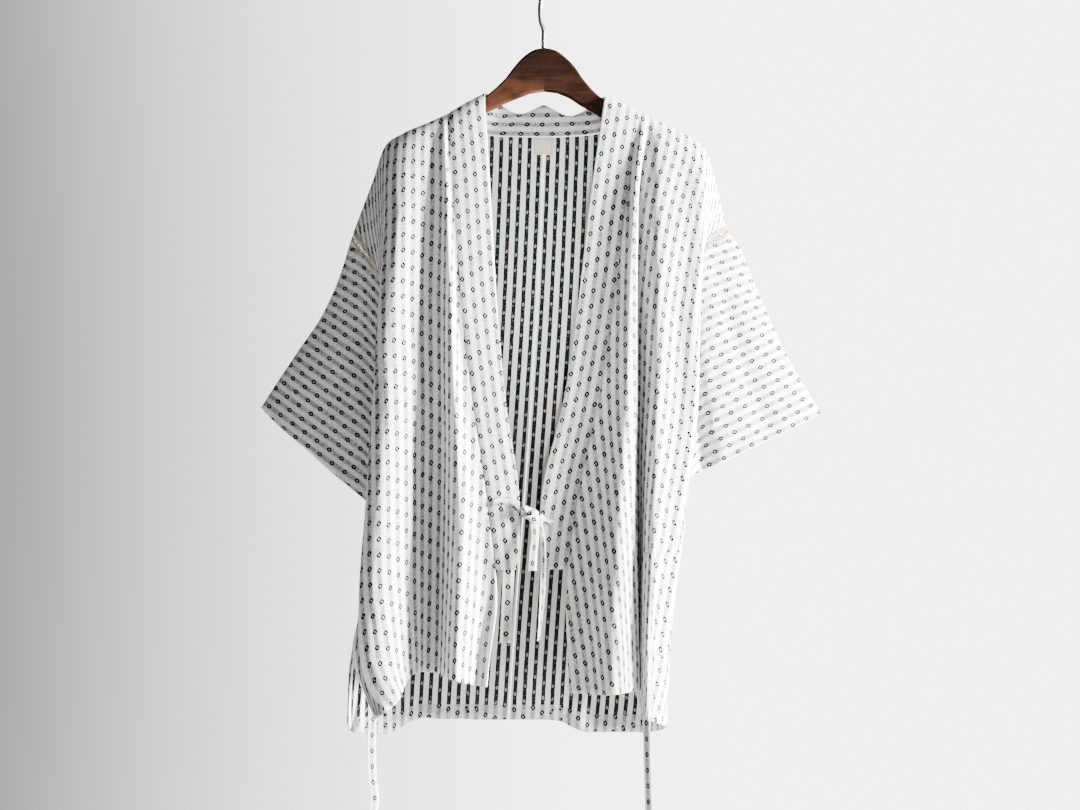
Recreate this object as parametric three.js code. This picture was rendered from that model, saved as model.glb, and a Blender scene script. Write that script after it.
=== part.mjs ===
import * as THREE from "three";

// Open-fronted haori jacket on a wooden hanger. Millimetres, +Z up, the front faces -Y.
// The origin is the inside top of the steel hook. Right and left are the wearer's.

const CLOTH = 1.6;         // wall of one layer of double-faced cotton
const BAND = 2.2;          // wall of the folded collar band
const SEAM = 0.85;         // seam gap between the middles of two walls
const BACK_SEAM = 1;       // each back stands off the centre-back seam
const LAY = 0.45;          // gap under a piece that lies on another
const ROD = 3.1;           // radius of the hook rod
const WOOD = 13;           // hanger thickness

// Levels down a panel: shoulder crest, shoulder turn, six heights, hem.
const HEIGHTS = [-310, -440, -570, -700, -830, -900];
// Rows of each panel, as levels; the underarm, band end, pocket and vent fall on rows.
const ROWS = [0, 1, 1.33, 1.67, 2, 2.33, 2.67, 3, 3.33, 3.67, 4, 4.33, 4.67, 5,
  5.25, 5.5, 5.67, 5.83, 6, 6.5, 7, 7.5, 8];
const UNDERARM = 4;
const VENT = 7;
const BAND_END = 5.67;
const POCKET_ROWS = [5.5, 7];

// Folds of each front from the collar seam to the side edge: x and y at the nine levels,
// z at crest, turn and hem, or at all nine. bandEdge is the free edge of the collar band.
const FRONT_RIGHT = [
  { fold: "bandEdge", x: [-77, -77.5, -69, -61.5, -50, -32, -36, -36, -36],
    y: [0, -9, -26, -29, -33, -36, -33, -33, -33], z: [-166, -169.5, -942] },
  { fold: "collarSeam", x: [-125, -125, -117, -108, -93, -74, -61, -70, -75],
    y: [0, -10, -26, -30, -33, -36, -34, -34, -36], z: [-192.7, -195.5, -942] },
  { fold: "edgeValley", x: [-127, -127, -122, -114, -104, -87, -77, -83, -85],
    y: [0, -10, -26, -30, -34, -38, -31, -28, -28], z: [-193.6, -196.5, -942] },
  { fold: "innerCrest", x: [-131, -131, -126, -121, -116, -110, -111, -113, -114],
    y: [0, -10, -32, -38, -44, -50, -54, -56, -56], z: [-195.4, -198.5, -931] },
  { fold: "valley", x: [-138, -138, -137, -140, -139, -140, -142, -143, -144],
    y: [0, -10, -20, -18, -16, -14, -12, -11, -11], z: [-198.6, -201.5, -927] },
  { fold: "slope", x: [-156, -156, -161, -168, -171, -174, -175, -174, -172],
    y: [0, -10, -27, -30, -34, -36, -38, -38, -38], z: [-206.4, -209.5, -927] },
  { fold: "crown", x: [-182, -182, -186, -196, -201, -206, -209, -203, -189],
    y: [0, -10, -30, -38, -46, -54, -58, -58, -54], z: [-217.2, -220.5, -959] },
  { fold: "ridge", x: [-207, -206, -203, -214, -221, -230, -237, -230, -203],
    y: [0, -9, -25, -32, -38, -44, -50, -56, -56], z: [-233, -237, -971] },
  { fold: "turn", x: [-224.7, -223, -213, -210, -214, -223, -236, -246, -211],
    y: [2, -5, -20, -19, -19, -22, -28, -40, -52],
    z: [-279.5, -283, -348, -448, -570, -700, -830, -900, -977] },
  { fold: "side", x: [-252, -249.5, -219, -202, -178, -182, -222, -250, -218],
    y: [6, 0, -12, -6, 0, 0, -4, -20, -48],
    z: [-350, -356, -402, -475, -560, -700, -830, -896, -982] },
];
const FRONT_LEFT = [
  { fold: "bandEdge", x: [80, 79.5, 60, 45, 25.5, -4, 3, 3, 3],
    y: [0, -9, -24, -27, -29.5, -32, -28, -28, -28], z: [-171, -174, -951] },
  { fold: "collarSeam", x: [126, 126, 108, 92, 71, 43, 29, 31, 33],
    y: [0, -10, -24, -27, -30, -32, -28, -28, -30], z: [-191.2, -194, -951] },
  { fold: "innerFlank", x: [127.5, 127.5, 112, 100, 87, 69, 60, 60, 60],
    y: [0, -10, -28, -32, -36, -38, -38, -38, -38], z: [-191.9, -195, -951] },
  { fold: "innerCrest", x: [130, 130, 117, 110, 106, 98, 90, 87, 87],
    y: [0, -10, -34, -42, -48, -54, -56, -56, -56], z: [-193, -196, -949] },
  { fold: "tuckEdge", x: [133, 133, 121, 119, 119, 118, 120, 122, 122],
    y: [0, -10, -31, -38, -41, -42, -42, -42, -42], z: [-194.3, -197.5, -945] },
  { fold: "valley", x: [137, 137, 125, 122, 122, 121, 121, 121, 121],
    y: [0, -10, -19, -14, -12, -11, -11, -11, -11], z: [-196.3, -199.5, -952] },
  { fold: "sideCrest", x: [150, 150, 146, 144, 143, 140, 134, 131, 131],
    y: [0, -10, -32, -40, -46, -50, -52, -52, -52], z: [-202.6, -205.5, -980] },
  { fold: "softValley", x: [179, 179, 185, 178, 172, 164, 150, 144, 143],
    y: [0, -10, -27, -32, -36, -40, -44, -46, -46], z: [-216.5, -219.5, -986] },
  { fold: "ridge", x: [209, 208, 206, 200, 197, 184, 167, 161, 155],
    y: [0, -9, -26, -30, -32, -34, -34, -32, -32], z: [-236, -240, -993] },
  { fold: "turn", x: [225.4, 224, 212, 204, 199, 186, 170, 164, 160],
    y: [2, -5, -19, -17, -16, -18, -20, -20, -22],
    z: [-279.5, -283, -338, -444, -570, -700, -830, -900, -997] },
  { fold: "side", x: [239.3, 237, 211, 194, 166, 156, 146, 152, 158],
    y: [4, -1, -11, -6, 0, 0, -2, -6, -12],
    z: [-344, -349, -366, -455, -558, -700, -830, -898, -1000] },
];

// Folds of each back, in the order of the front's, from the collar point to the side edge:
// x and y at the six heights and the hem, z at the hem, or at all seven.
const BACK_RIGHT = [
  { fold: "collarPoint", x: [-104, -101, -100, -101, -104, -105, -116],
    y: [31, 33, 35, 36, 35, 34, 34], z: [-997] },
  { fold: "b1", x: [-116, -114, -114, -115, -119, -121, -131],
    y: [30, 33, 37, 38, 37, 35, 34], z: [-997] },
  { fold: "b2", x: [-128, -128, -129, -131, -136, -139, -147],
    y: [29, 32, 35, 36, 36, 34, 34], z: [-996.5] },
  { fold: "b3", x: [-142, -144, -145, -148, -154, -158, -163],
    y: [29, 31, 34, 35, 36, 35, 34], z: [-996] },
  { fold: "b4", x: [-158, -161, -163, -167, -174, -179, -181],
    y: [28, 32, 36, 37, 36, 33, 30], z: [-1001] },
  { fold: "crown", x: [-182, -182, -186, -191, -199, -206, -205],
    y: [28, 35, 39, 39, 35, 29, 25], z: [-1014] },
  { fold: "ridge", x: [-202, -206, -206, -211, -221, -232, -236],
    y: [27, 33, 33, 32, 26, 15, 16], z: [-1014] },
  { fold: "turn", x: [-211, -208, -202, -206, -226, -246, -253],
    y: [25, 27, 20, 19, 12, -4, 5],
    z: [-348, -448, -570, -700, -830, -900, -1009] },
  { fold: "side", x: [-219, -202, -178, -182, -222, -250, -259],
    y: [21, 18, 0, 0, -4, -20, -5], z: [-402, -475, -560, -700, -830, -896, -996] },
];
const BACK_LEFT = [
  { fold: "collarPoint", x: [103, 94, 85, 75, 62, 55, 26],
    y: [30, 33, 36, 36, 34, 33, 32], z: [-1001] },
  { fold: "b1", x: [112, 103, 93, 82, 69, 61, 36],
    y: [29, 32, 35, 35, 33, 32, 29], z: [-1006] },
  { fold: "b2", x: [121, 112, 102, 91, 78, 70, 47],
    y: [29, 31, 34, 34, 33, 32, 27], z: [-1010.5] },
  { fold: "b3", x: [131, 122, 112, 101, 88, 80, 59],
    y: [29, 32, 35, 36, 35, 33, 30], z: [-1014] },
  { fold: "b4", x: [142, 133, 124, 113, 100, 92, 74],
    y: [28, 33, 37, 37, 36, 35, 33], z: [-1014.5] },
  { fold: "b5", x: [157, 148, 140, 128, 114, 106, 93],
    y: [28, 33, 38, 38, 36, 35, 34], z: [-1014.5] },
  { fold: "b6", x: [180, 170, 162, 149, 131, 123, 113],
    y: [28, 34, 38, 38, 34, 33, 31], z: [-1014] },
  { fold: "ridge", x: [203, 196, 188, 176, 152, 143, 136],
    y: [27, 32, 33, 31, 27, 26, 25], z: [-1013] },
  { fold: "turn", x: [208, 200, 185, 173, 156, 153, 152],
    y: [22, 25, 18, 16, 12, 10, 15],
    z: [-338, -444, -570, -700, -830, -900, -1009] },
  { fold: "side", x: [211, 194, 166, 156, 146, 152, 159],
    y: [20, 16, 0, 0, -2, -6, 4], z: [-366, -455, -558, -700, -830, -898, -1004.5] },
];

// Back neck, from the collar point to the centre-back seam: x and y at the nine levels,
// z at crest, turn and hem; free is the point on the band's free edge above.
const NECK_RIGHT = [
  { fold: "neckTurn", x: [-121, -120, -96, -92, -91, -92, -95, -96, -106],
    y: [9.5, 14, 31, 33, 34, 35, 34, 34, 34], z: [-197, -203, -997], free: [-72, 10, -167] },
  { fold: "neck", x: [-77, -77, -64, -63, -66, -69, -74, -76, -90],
    y: [21.5, 23, 29, 32, 36, 36, 36, 35, 34], z: [-216, -224, -998], free: [-54, 21, -179] },
  { fold: "midNeck", x: [-38, -38, -33, -36, -41, -47, -54, -58, -68],
    y: [22, 23, 28, 32, 34, 34, 34, 34, 34], z: [-219, -227, -998], free: [-33, 22, -188.5] },
  { fold: "centreBack", x: [0, 0, -3, -9, -17, -26, -36, -41, -47],
    y: [22, 23, 28, 33, 36, 37, 36, 35, 34], z: [-219.7, -228, -998], free: [0, 22, -175.8] },
];
const NECK_LEFT = [
  { fold: "neckTurn", x: [122, 121, 93, 85, 77, 68, 54, 46, 16],
    y: [9.5, 14, 31, 33, 35, 35, 34, 34, 33], z: [-196, -202, -999], free: [73, 10, -171] },
  { fold: "neck", x: [76, 76, 62, 54, 46, 39, 27, 20, -1],
    y: [21.5, 23, 29, 33, 36, 36, 36, 35, 34], z: [-214, -222, -998], free: [59, 21, -181] },
  { fold: "midNeck", x: [38, 38, 30, 24, 16, 8, -3, -9, -24],
    y: [22, 23, 28, 32, 35, 35, 34, 34, 34], z: [-218.5, -226.5, -998], free: [35, 22, -191] },
  { fold: "centreBack", x: [0, 0, -3, -9, -17, -26, -36, -41, -47],
    y: [22, 23, 28, 33, 36, 37, 36, 35, 34], z: [-219.7, -228, -998], free: [0, 22, -175.8] },
];
// Columns in each space between two folds.
const COLUMNS = {
  right: [1, 2, 3, 2, 2, 3, 2, 3],
  left: [1, 2, 2, 2, 3, 2, 2, 2, 3],
  neck: [1, 2, 2, 2],
};

// Sleeves, from armhole to cuff: points of the upper fold and of the lower fold, the way
// the front layer faces, half of the depth, and the troughs of the front layer as
// [place from upper to lower fold, width, depth].
const SLEEVES = {
  right: {
    upper: [[-252, 6, -350], [-274, 18, -413], [-298.4, 28, -461.3], [-325.8, 38, -499],
      [-361, 52, -548], [-383, 60, -580]],
    lower: [[-178, 1, -552.5], [-187, 1.4, -556], [-196, 1.5, -605], [-205, 2, -660],
      [-214, 2, -720]],
    face: [-0.336, -0.942, 0], depth: 14, troughs: [[0.42, 0.16, 3]],
  },
  left: {
    upper: [[239.3, 4, -344], [258.2, 8, -367.3], [275.5, 14, -407.9], [295.2, 19, -450.9],
      [317.6, 24, -499.5], [345.8, 30, -548.4], [371.3, 35, -588.2]],
    lower: [[166, 1.2, -550.5], [174, 1.6, -554], [178, 2, -592], [176, 3, -635], [172, 4, -682]],
    face: [0.164, -0.987, 0], depth: 14, troughs: [[0.8, 0.12, 9], [0.35, 0.15, 3]],
  },
};
const SLEEVE_STATIONS = [0, 0.08, 0.2, 0.35, 0.5, 0.65, 0.8, 0.92, 1];

// Outlines of the hanger's arms, x and z, from the joint over the top to the end.
const ARM_RIGHT = [
  [-0.15, -106.5], [-9, -107.5], [-16.8, -110.5], [-28.9, -119.6], [-41, -133.1],
  [-50, -145.2], [-60.5, -155.9], [-71, -165], [-78, -170.4], [-85, -175.8], [-100, -186],
  [-125, -199], [-163, -216.4], [-186, -227], [-195, -233], [-199, -241], [-197, -250],
  [-188, -254], [-163, -243], [-125, -222], [-100, -206], [-78, -192], [-65, -186],
  [-50, -178.5], [-35, -172.4], [-20, -166.4], [-0.15, -162.6],
];
const ARM_LEFT = [
  [0.15, -106.5], [9, -107.5], [17.5, -110.5], [29.5, -119.6], [41, -131.6], [52, -147.6],
  [65.4, -163], [72, -169], [79, -175], [86, -178.8], [100, -186], [125, -198], [163, -215.4],
  [186, -227], [195, -233], [199, -241], [197, -250], [188, -254], [163, -243], [125, -222],
  [100, -210], [76, -198], [66, -191], [50, -183], [34, -172.4], [18, -165.6], [0.15, -162.6],
];
// Middle line of the hook rod, x and z, from the wood up and round.
const HOOK = [
  [-0.5, -106.2], [-0.5, -94], [-0.6, -82], [-3.6, -73], [-4.8, -66], [-4.8, -48],
  [-2.2, -39], [6.5, -34], [14.8, -28.2], [19.6, -19.5], [18.8, -8.8], [11.5, 0.6], [0, 3.1],
  [-11.5, 0.6], [-18.8, -8.8], [-20.2, -19], [-17.5, -27.5],
];

// Ties: middle line, the way across, the width at each end.
const TIES = [
  { name: "tie_front_right", across: [0.25, 0, 1], width: [12, 9],
    path: [[-66, -38.2, -703], [-56, -38.3, -701], [-44, -38.8, -702], [-30.9, -41, -712.5]] },
  { name: "tie_front_left", across: [0.3, 0, 1], width: [10, 8],
    path: [[14, -33.8, -729], [7, -34, -728], [0.6, -35.4, -725], [-4.6, -40, -720]] },
  { name: "tie_tail_right", across: [1, 0.1, 0], width: [9, 10.5],
    path: [[-13, -41.2, -730], [-11.8, -43, -746], [-13, -43.5, -761], [-14.5, -43.5, -776],
      [-15, -43, -790.5]] },
  { name: "tie_tail_left", across: [0.9, 0.43, 0], width: [6, 7.5],
    path: [[-5.9, -40, -726.6], [-1.5, -38.5, -752], [-0.5, -37.5, -776], [-1.2, -37, -800],
      [-2.8, -36.5, -830], [-5, -36, -858], [-7, -35.5, -882]] },
  { name: "tie_inner_right", across: [1, 0, 0], width: [15, 14.5],
    path: [[-46, -32.3, -762], [-46.4, -31.7, -786], [-46.8, -29, -815], [-48.4, -27, -850],
      [-50.3, -26, -886]] },
  { name: "tie_side_right", across: [0.94, 0.34, 0], width: [11, 11],
    path: [[-184.2, 1, -738], [-193, 3, -780], [-203, 3, -850], [-214, 1, -915], [-224, 0, -975],
      [-226.5, -3, -1010], [-225.5, -6, -1066], [-222.5, -7, -1093], [-226, -8, -1123]] },
  { name: "tie_side_left", across: [0.94, -0.34, 0], width: [10, 10],
    path: [[146.7, 1, -740], [141, 3, -790], [138, 4, -850], [136, 3, -915], [135, 0, -975],
      [135.5, -3, -1010], [136.8, -5, -1060], [138.5, -6, -1120]] },
];
const KNOT = { centre: [-18, -41, -718], size: [26, 12, 24], groove: 2.6, turn: 0.5 };
const LABEL = { centre: [-1, -231.8], width: 26.7, height: 22.6, turn: 0.035, wall: 0.8 };

const clothLook = { color: 0xe8e8ea, roughness: 0.9, metalness: 0 };
const labelLook = { color: 0xece4d2, roughness: 0.85, metalness: 0 };
const woodLook = { color: 0x5c3723, roughness: 0.45, metalness: 0 };
const steelLook = { color: 0x6a6862, roughness: 0.4, metalness: 0.9 };

const vec = (p) => new THREE.Vector3(p[0], p[1], p[2]);

function pieceOf(name, geometry, look) {
  const mesh = new THREE.Mesh(geometry, new THREE.MeshStandardMaterial(look));
  mesh.name = name;
  return mesh;
}

// A point on the smooth curve through points; place counts points from 0.
function along(points, place) {
  const last = points.length - 1;
  const curve = new THREE.CatmullRomCurve3(points, false, "centripetal");
  return curve.getPoint(Math.min(1, Math.max(0, place / last)));
}

// Nine points of a front or neck fold.
function fullLine(row) {
  const zs = row.z.length === 9 ? row.z : [row.z[0], row.z[1], ...HEIGHTS, row.z[2]];
  return zs.map((z, k) => new THREE.Vector3(row.x[k], row.y[k], z));
}

// Nine points of a back fold: it starts on the front's crest and mirrors its turn.
function backLine(row, front) {
  const zs = row.z.length === 7 ? row.z : [...HEIGHTS, row.z[0]];
  const turn = front[1].clone();
  turn.y = 2 * front[0].y - front[1].y;
  return [front[0], turn, ...zs.map((z, k) => new THREE.Vector3(row.x[k], row.y[k], z))];
}

// Grid of points: rows at the given levels, columns spread between the fold lines.
function loft(lines, columns, rows) {
  return rows.map((level) => {
    const across = lines.map((line) => along(line, level));
    const points = [across[0].clone()];
    columns.forEach((count, gap) => {
      for (let c = 1; c <= count; c += 1) points.push(along(across, gap + c / count));
    });
    return points;
  });
}

// Closed solid around grids that share edges: each side lies half a wall off.
function wall(grids, thickness) {
  const points = [];
  const places = new Map();
  const quads = [];
  const idOf = (p) => {
    const key = [p.x, p.y, p.z].map((v) => Math.round(v * 100)).join(",");
    if (!places.has(key)) {
      places.set(key, points.length);
      points.push(p);
    }
    return places.get(key);
  };
  for (const { grid, ring } of grids) {
    for (let i = 0; i < grid.length - 1; i += 1) {
      const width = grid[i].length;
      for (let j = 0; j < (ring ? width : width - 1); j += 1) {
        const k = (j + 1) % width;
        quads.push([grid[i][j], grid[i + 1][j], grid[i + 1][k], grid[i][k]].map(idOf));
      }
    }
  }
  const normals = points.map(() => new THREE.Vector3());
  const edges = new Set();
  for (const q of quads) {
    const [a, b, c, d] = q.map((id) => points[id]);
    const normal = c.clone().sub(a).cross(d.clone().sub(b));
    q.forEach((id, k) => {
      normals[id].add(normal);
      edges.add(`${id}>${q[(k + 1) % 4]}`);
    });
  }
  const half = points.length;
  const positions = [];
  for (const sign of [1, -1]) {
    points.forEach((p, id) => {
      const n = normals[id].clone().normalize().multiplyScalar((sign * thickness) / 2);
      positions.push(p.x + n.x, p.y + n.y, p.z + n.z);
    });
  }
  const faces = [];
  for (const [a, b, c, d] of quads) {
    faces.push(a, b, c, a, c, d);
    faces.push(half + a, half + c, half + b, half + a, half + d, half + c);
  }
  for (const edge of edges) {
    const [a, b] = edge.split(">").map(Number);
    if (!edges.has(`${b}>${a}`)) faces.push(b, a, half + a, b, half + a, half + b);
  }
  const geometry = new THREE.BufferGeometry();
  geometry.setAttribute("position", new THREE.Float32BufferAttribute(positions, 3));
  geometry.setIndex(faces);
  geometry.computeVertexNormals();
  return geometry;
}

// Front and back of one side in one piece over the shoulder, joined down the side seam.
function body(frontTable, backTable, neckTable, columns, way) {
  const lines = frontTable.map(fullLine);
  const fronts = lines.slice(1);
  const backs = backTable.map((row, k) => backLine(row, fronts[k])).reverse();
  const necks = neckTable.map(fullLine);
  const front = loft(fronts, columns, ROWS);
  const back = loft([...backs, ...necks], [...columns].reverse().concat(COLUMNS.neck), ROWS);
  const shared = front[0].length - 1;
  for (let j = 0; j <= shared; j += 1) back[0][j] = front[0][shared - j];
  ROWS.forEach((level, i) => {
    if (level >= UNDERARM && level <= VENT) back[i][0] = front[i][shared];
    back[i][back[i].length - 1].x += way * BACK_SEAM;
  });
  return { front, back, bandEdge: lines[0], free: [lines[0][0], ...neckTable.map((r) => vec(r.free))] };
}

// Band that rises from the seam edge of both bodies to its own free edge.
function collar(right, left) {
  const rows = ROWS.filter((level) => level <= BAND_END);
  const half = (side) => {
    const start = side.front[0].length - 1;
    const seams = rows.map((level, i) => side.front[i][0]).reverse();
    const frees = rows.map((level) => along(side.bandEdge, level)).reverse();
    COLUMNS.neck.forEach((count, gap) => {
      for (let c = 1; c <= count; c += 1) frees.push(along(side.free, gap + c / count));
    });
    seams.push(...side.back[0].slice(start + 1));
    return seams.map((seam, i) => [seam, frees[i]]);
  };
  const pairs = [...half(right), ...half(left).slice(0, -1).reverse()];
  const grid = pairs.map(([seam, free]) => {
    const way = free.clone().sub(seam).normalize();
    const first = seam.clone().addScaledVector(way, SEAM);
    const point = (t) => first.clone().lerp(free, t);
    return [point(0), point(0.34), point(0.68), point(1)];
  });
  return wall([{ grid }], BAND);
}

// Flattened tube from the armhole to the open cuff.
function sleeve(side, shape, flip) {
  const rows = ROWS.filter((level) => level <= UNDERARM).length;
  const last = side.front[0].length - 1;
  const outward = (grid, i, edge, inner, layer) => {
    const point = grid[i][edge].clone();
    const way = point.clone().sub(grid[i][inner]).normalize();
    const s = i / (rows - 1);
    point.addScaledVector(way, 1.3 * (1 - s));
    point.y -= layer * 3 * Math.pow(Math.sin(Math.PI * s), 0.3);
    point.z += 7.5 * s * s;
    return point;
  };
  const ring = [];
  for (let i = 0; i < rows; i += 1) {
    ring.push([i, outward(side.front, i, last, last - 1, -1), -1]);
  }
  for (let i = rows - 2; i > 0; i -= 1) {
    ring.push([i, outward(side.back, i, 0, 1, 1), 1]);
  }
  const upper = shape.upper.map(vec);
  const lower = shape.lower.map(vec);
  const face = vec(shape.face);
  const section = (v, s, layer) => {
    const top = along(upper, v * (upper.length - 1));
    const low = along(lower, v * (lower.length - 1));
    let rise = shape.depth * Math.pow(Math.sin(Math.PI * s), 0.6) * (1 - 0.6 * s);
    if (layer < 0) {
      for (const [place, width, depth] of shape.troughs) {
        rise -= depth * Math.exp(-Math.pow((s - place) / width, 2) * 3) * Math.min(1, v * 3);
      }
    }
    return top.lerp(low, s).addScaledVector(face, -layer * rise);
  };
  const grid = SLEEVE_STATIONS.map((v) =>
    ring.map(([i, start, layer]) => {
      const s = i / (rows - 1);
      const held = Math.pow(1 - Math.min(1, v / 0.5), 2);
      const shift = start.clone().sub(section(0, s, layer)).multiplyScalar(held);
      return section(v, s, layer).add(shift);
    }));
  if (flip) grid.forEach((row) => row.reverse());
  return wall([{ grid, ring: true }], CLOTH);
}

// Patch pocket laid on the front between its valley and its ridge.
function pocket(side) {
  const rows = ROWS.map((level, i) => [level, i]).filter(([level]) =>
    level >= POCKET_ROWS[0] && level <= POCKET_ROWS[1]).map(([, i]) => i);
  const first = COLUMNS.left.slice(0, 4).reduce((a, b) => a + b, 0) + 2;
  const end = COLUMNS.left.slice(0, 7).reduce((a, b) => a + b, 0);
  const grid = rows.map((i) => {
    const row = [];
    for (let j = first; j <= end; j += 1) {
      const downwards = side.front[i + 1][j].clone().sub(side.front[i - 1][j]);
      const across = side.front[i][j + 1].clone().sub(side.front[i][j - 1]);
      const out = downwards.cross(across).normalize();
      row.push(side.front[i][j].clone().addScaledVector(out, CLOTH + LAY));
    }
    return row;
  });
  return wall([{ grid }], CLOTH);
}

// Flat strip along a path.
function strip(tie) {
  const path = tie.path.map(vec);
  const across = vec(tie.across).normalize();
  const count = (path.length - 1) * 2;
  const grid = [];
  for (let i = 0; i <= count; i += 1) {
    const width = THREE.MathUtils.lerp(tie.width[0], tie.width[1], i / count);
    const middle = along(path, i / 2);
    grid.push([-0.5, 0, 0.5].map((side) => middle.clone().addScaledVector(across, side * width)));
  }
  return wall([{ grid }], CLOTH);
}

// Knot: a flattened ball with a slanting groove round it.
function knot() {
  const ball = new THREE.SphereGeometry(0.5, 18, 12);
  const position = ball.getAttribute("position");
  for (let i = 0; i < position.count; i += 1) {
    const p = new THREE.Vector3().fromBufferAttribute(position, i);
    const slant = p.x * Math.cos(KNOT.turn) + p.z * Math.sin(KNOT.turn);
    const squeeze = 1 - (KNOT.groove / KNOT.size[1]) * Math.exp(-Math.pow(slant / 0.1, 2));
    p.multiplyScalar(squeeze);
    p.set(p.x * KNOT.size[0], p.y * KNOT.size[1], p.z * KNOT.size[2]);
    position.setXYZ(i, p.x + KNOT.centre[0], p.y + KNOT.centre[1], p.z + KNOT.centre[2]);
  }
  ball.computeVertexNormals();
  return ball;
}

// Woven label on the inside of the back, just under the band.
function label() {
  const [cx, cz] = LABEL.centre;
  const grid = [0.5, 0, -0.5].map((v) =>
    [-0.5, -0.17, 0.17, 0.5].map((u) => {
      const x = u * LABEL.width;
      const z = v * LABEL.height;
      const height = cz + z * Math.cos(LABEL.turn) - x * Math.sin(LABEL.turn);
      const depth = 22 + ((-219.7 - height) / 90) * 6 - CLOTH / 2 - LAY - LABEL.wall / 2;
      return new THREE.Vector3(cx + x * Math.cos(LABEL.turn) + z * Math.sin(LABEL.turn),
        depth, height);
    }));
  return wall([{ grid }], LABEL.wall);
}

// One arm of the hanger: the outline, rounded along its edges.
function arm(points) {
  const outline = new THREE.Shape(points.map(([x, z]) => new THREE.Vector2(x, z)));
  const solid = new THREE.ExtrudeGeometry(outline, {
    depth: WOOD - 6, bevelEnabled: true, bevelThickness: 3, bevelSize: 3, bevelOffset: -3,
    bevelSegments: 2, curveSegments: 1,
  });
  solid.rotateX(Math.PI / 2);
  solid.translate(0, WOOD / 2 - 3, 0);
  return solid;
}

function hook() {
  const path = new THREE.CatmullRomCurve3(HOOK.map(([x, z]) => new THREE.Vector3(x, 0, z)),
    false, "centripetal");
  const rod = new THREE.Shape();
  rod.absarc(0, 0, ROD, 0, Math.PI * 2, false);
  return new THREE.ExtrudeGeometry(rod, {
    steps: 46, extrudePath: path, curveSegments: 5, bevelEnabled: false,
  });
}

const right = body(FRONT_RIGHT, BACK_RIGHT, NECK_RIGHT, COLUMNS.right, -1);
const left = body(FRONT_LEFT, BACK_LEFT, NECK_LEFT, COLUMNS.left, 1);
const haori = new THREE.Group();
haori.name = "haori";
haori.add(pieceOf("hanger_arm_right", arm(ARM_RIGHT), woodLook));
haori.add(pieceOf("hanger_arm_left", arm(ARM_LEFT), woodLook));
haori.add(pieceOf("hanger_hook", hook(), steelLook));
haori.add(pieceOf("body_right",
  wall([{ grid: right.front }, { grid: right.back }], CLOTH), clothLook));
haori.add(pieceOf("body_left",
  wall([{ grid: left.front }, { grid: left.back }], CLOTH), clothLook));
haori.add(pieceOf("sleeve_right", sleeve(right, SLEEVES.right, false), clothLook));
haori.add(pieceOf("sleeve_left", sleeve(left, SLEEVES.left, true), clothLook));
haori.add(pieceOf("collar_band", collar(right, left), clothLook));
haori.add(pieceOf("pocket_left", pocket(left), clothLook));
haori.add(pieceOf("label", label(), labelLook));
haori.add(pieceOf("tie_knot", knot(), clothLook));
for (const tie of TIES) haori.add(pieceOf(tie.name, strip(tie), clothLook));

export default haori;
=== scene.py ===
import math
import bpy
import bmesh
import numpy as np
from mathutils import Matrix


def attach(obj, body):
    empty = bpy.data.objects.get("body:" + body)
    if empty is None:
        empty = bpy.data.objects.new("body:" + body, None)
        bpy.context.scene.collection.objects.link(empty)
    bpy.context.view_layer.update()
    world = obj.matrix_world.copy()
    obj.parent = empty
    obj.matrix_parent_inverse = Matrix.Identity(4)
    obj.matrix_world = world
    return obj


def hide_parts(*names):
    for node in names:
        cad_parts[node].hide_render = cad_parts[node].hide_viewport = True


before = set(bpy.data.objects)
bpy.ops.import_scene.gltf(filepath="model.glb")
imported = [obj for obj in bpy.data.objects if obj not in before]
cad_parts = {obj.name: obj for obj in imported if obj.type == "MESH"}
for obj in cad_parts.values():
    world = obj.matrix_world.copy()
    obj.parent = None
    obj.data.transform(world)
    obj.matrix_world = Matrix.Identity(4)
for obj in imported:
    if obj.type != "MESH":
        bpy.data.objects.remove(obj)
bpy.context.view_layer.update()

MM = 0.001
CLOTH = 1.5  # shown thickness of one layer, mm
BAND = 2.2  # shown thickness of the collar band, mm
SEAM = 0.85  # seam gap between the middles of two walls, mm
HEM = 17.0  # depth of the turned-up hems, mm
HEM_EXTRA = 0.9  # how much thicker the cloth is there, mm

# ---------------- camera
SENSOR = 36.0  # width of the camera's sensor, mm
SEEN_WIDTH = 1404.0  # width that the photo shows at the jacket's front, mm
SEEN_FROM = 2070.0  # distance from the camera to that front, mm

cam = bpy.data.cameras.new("camera")
cam.sensor_width = SENSOR
cam.lens = SENSOR * SEEN_FROM / SEEN_WIDTH
cam.clip_start = 0.05
cam.clip_end = 20.0
camera = bpy.data.objects.new("camera", cam)
camera.location = (-0.0052, -2.100, -0.5765)
camera.rotation_euler = (math.pi / 2, 0.0, 0.0)
bpy.context.scene.collection.objects.link(camera)
bpy.context.scene.camera = camera

# ---------------- folds and outlines
# Levels down a panel: shoulder crest, shoulder turn, these six heights, hem.
HEIGHTS = [-310, -440, -570, -700, -830, -900]
# Rows of each panel, as levels; the underarm, band end, pocket and vent fall on rows.
ROWS = [0, 1, 1.33, 1.67, 2, 2.33, 2.67, 3, 3.33, 3.67, 4, 4.33, 4.67, 5,
  5.25, 5.5, 5.67, 5.83, 6, 6.5, 7, 7.5, 8]
UNDERARM = 4  # the level where a sleeve's armhole ends
VENT = 7  # the level where a side vent starts
BAND_END = 5.67  # the level of the collar band's lower ends
POCKET_ROWS = [5.5, 7]  # levels of the pocket's top and bottom

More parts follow.
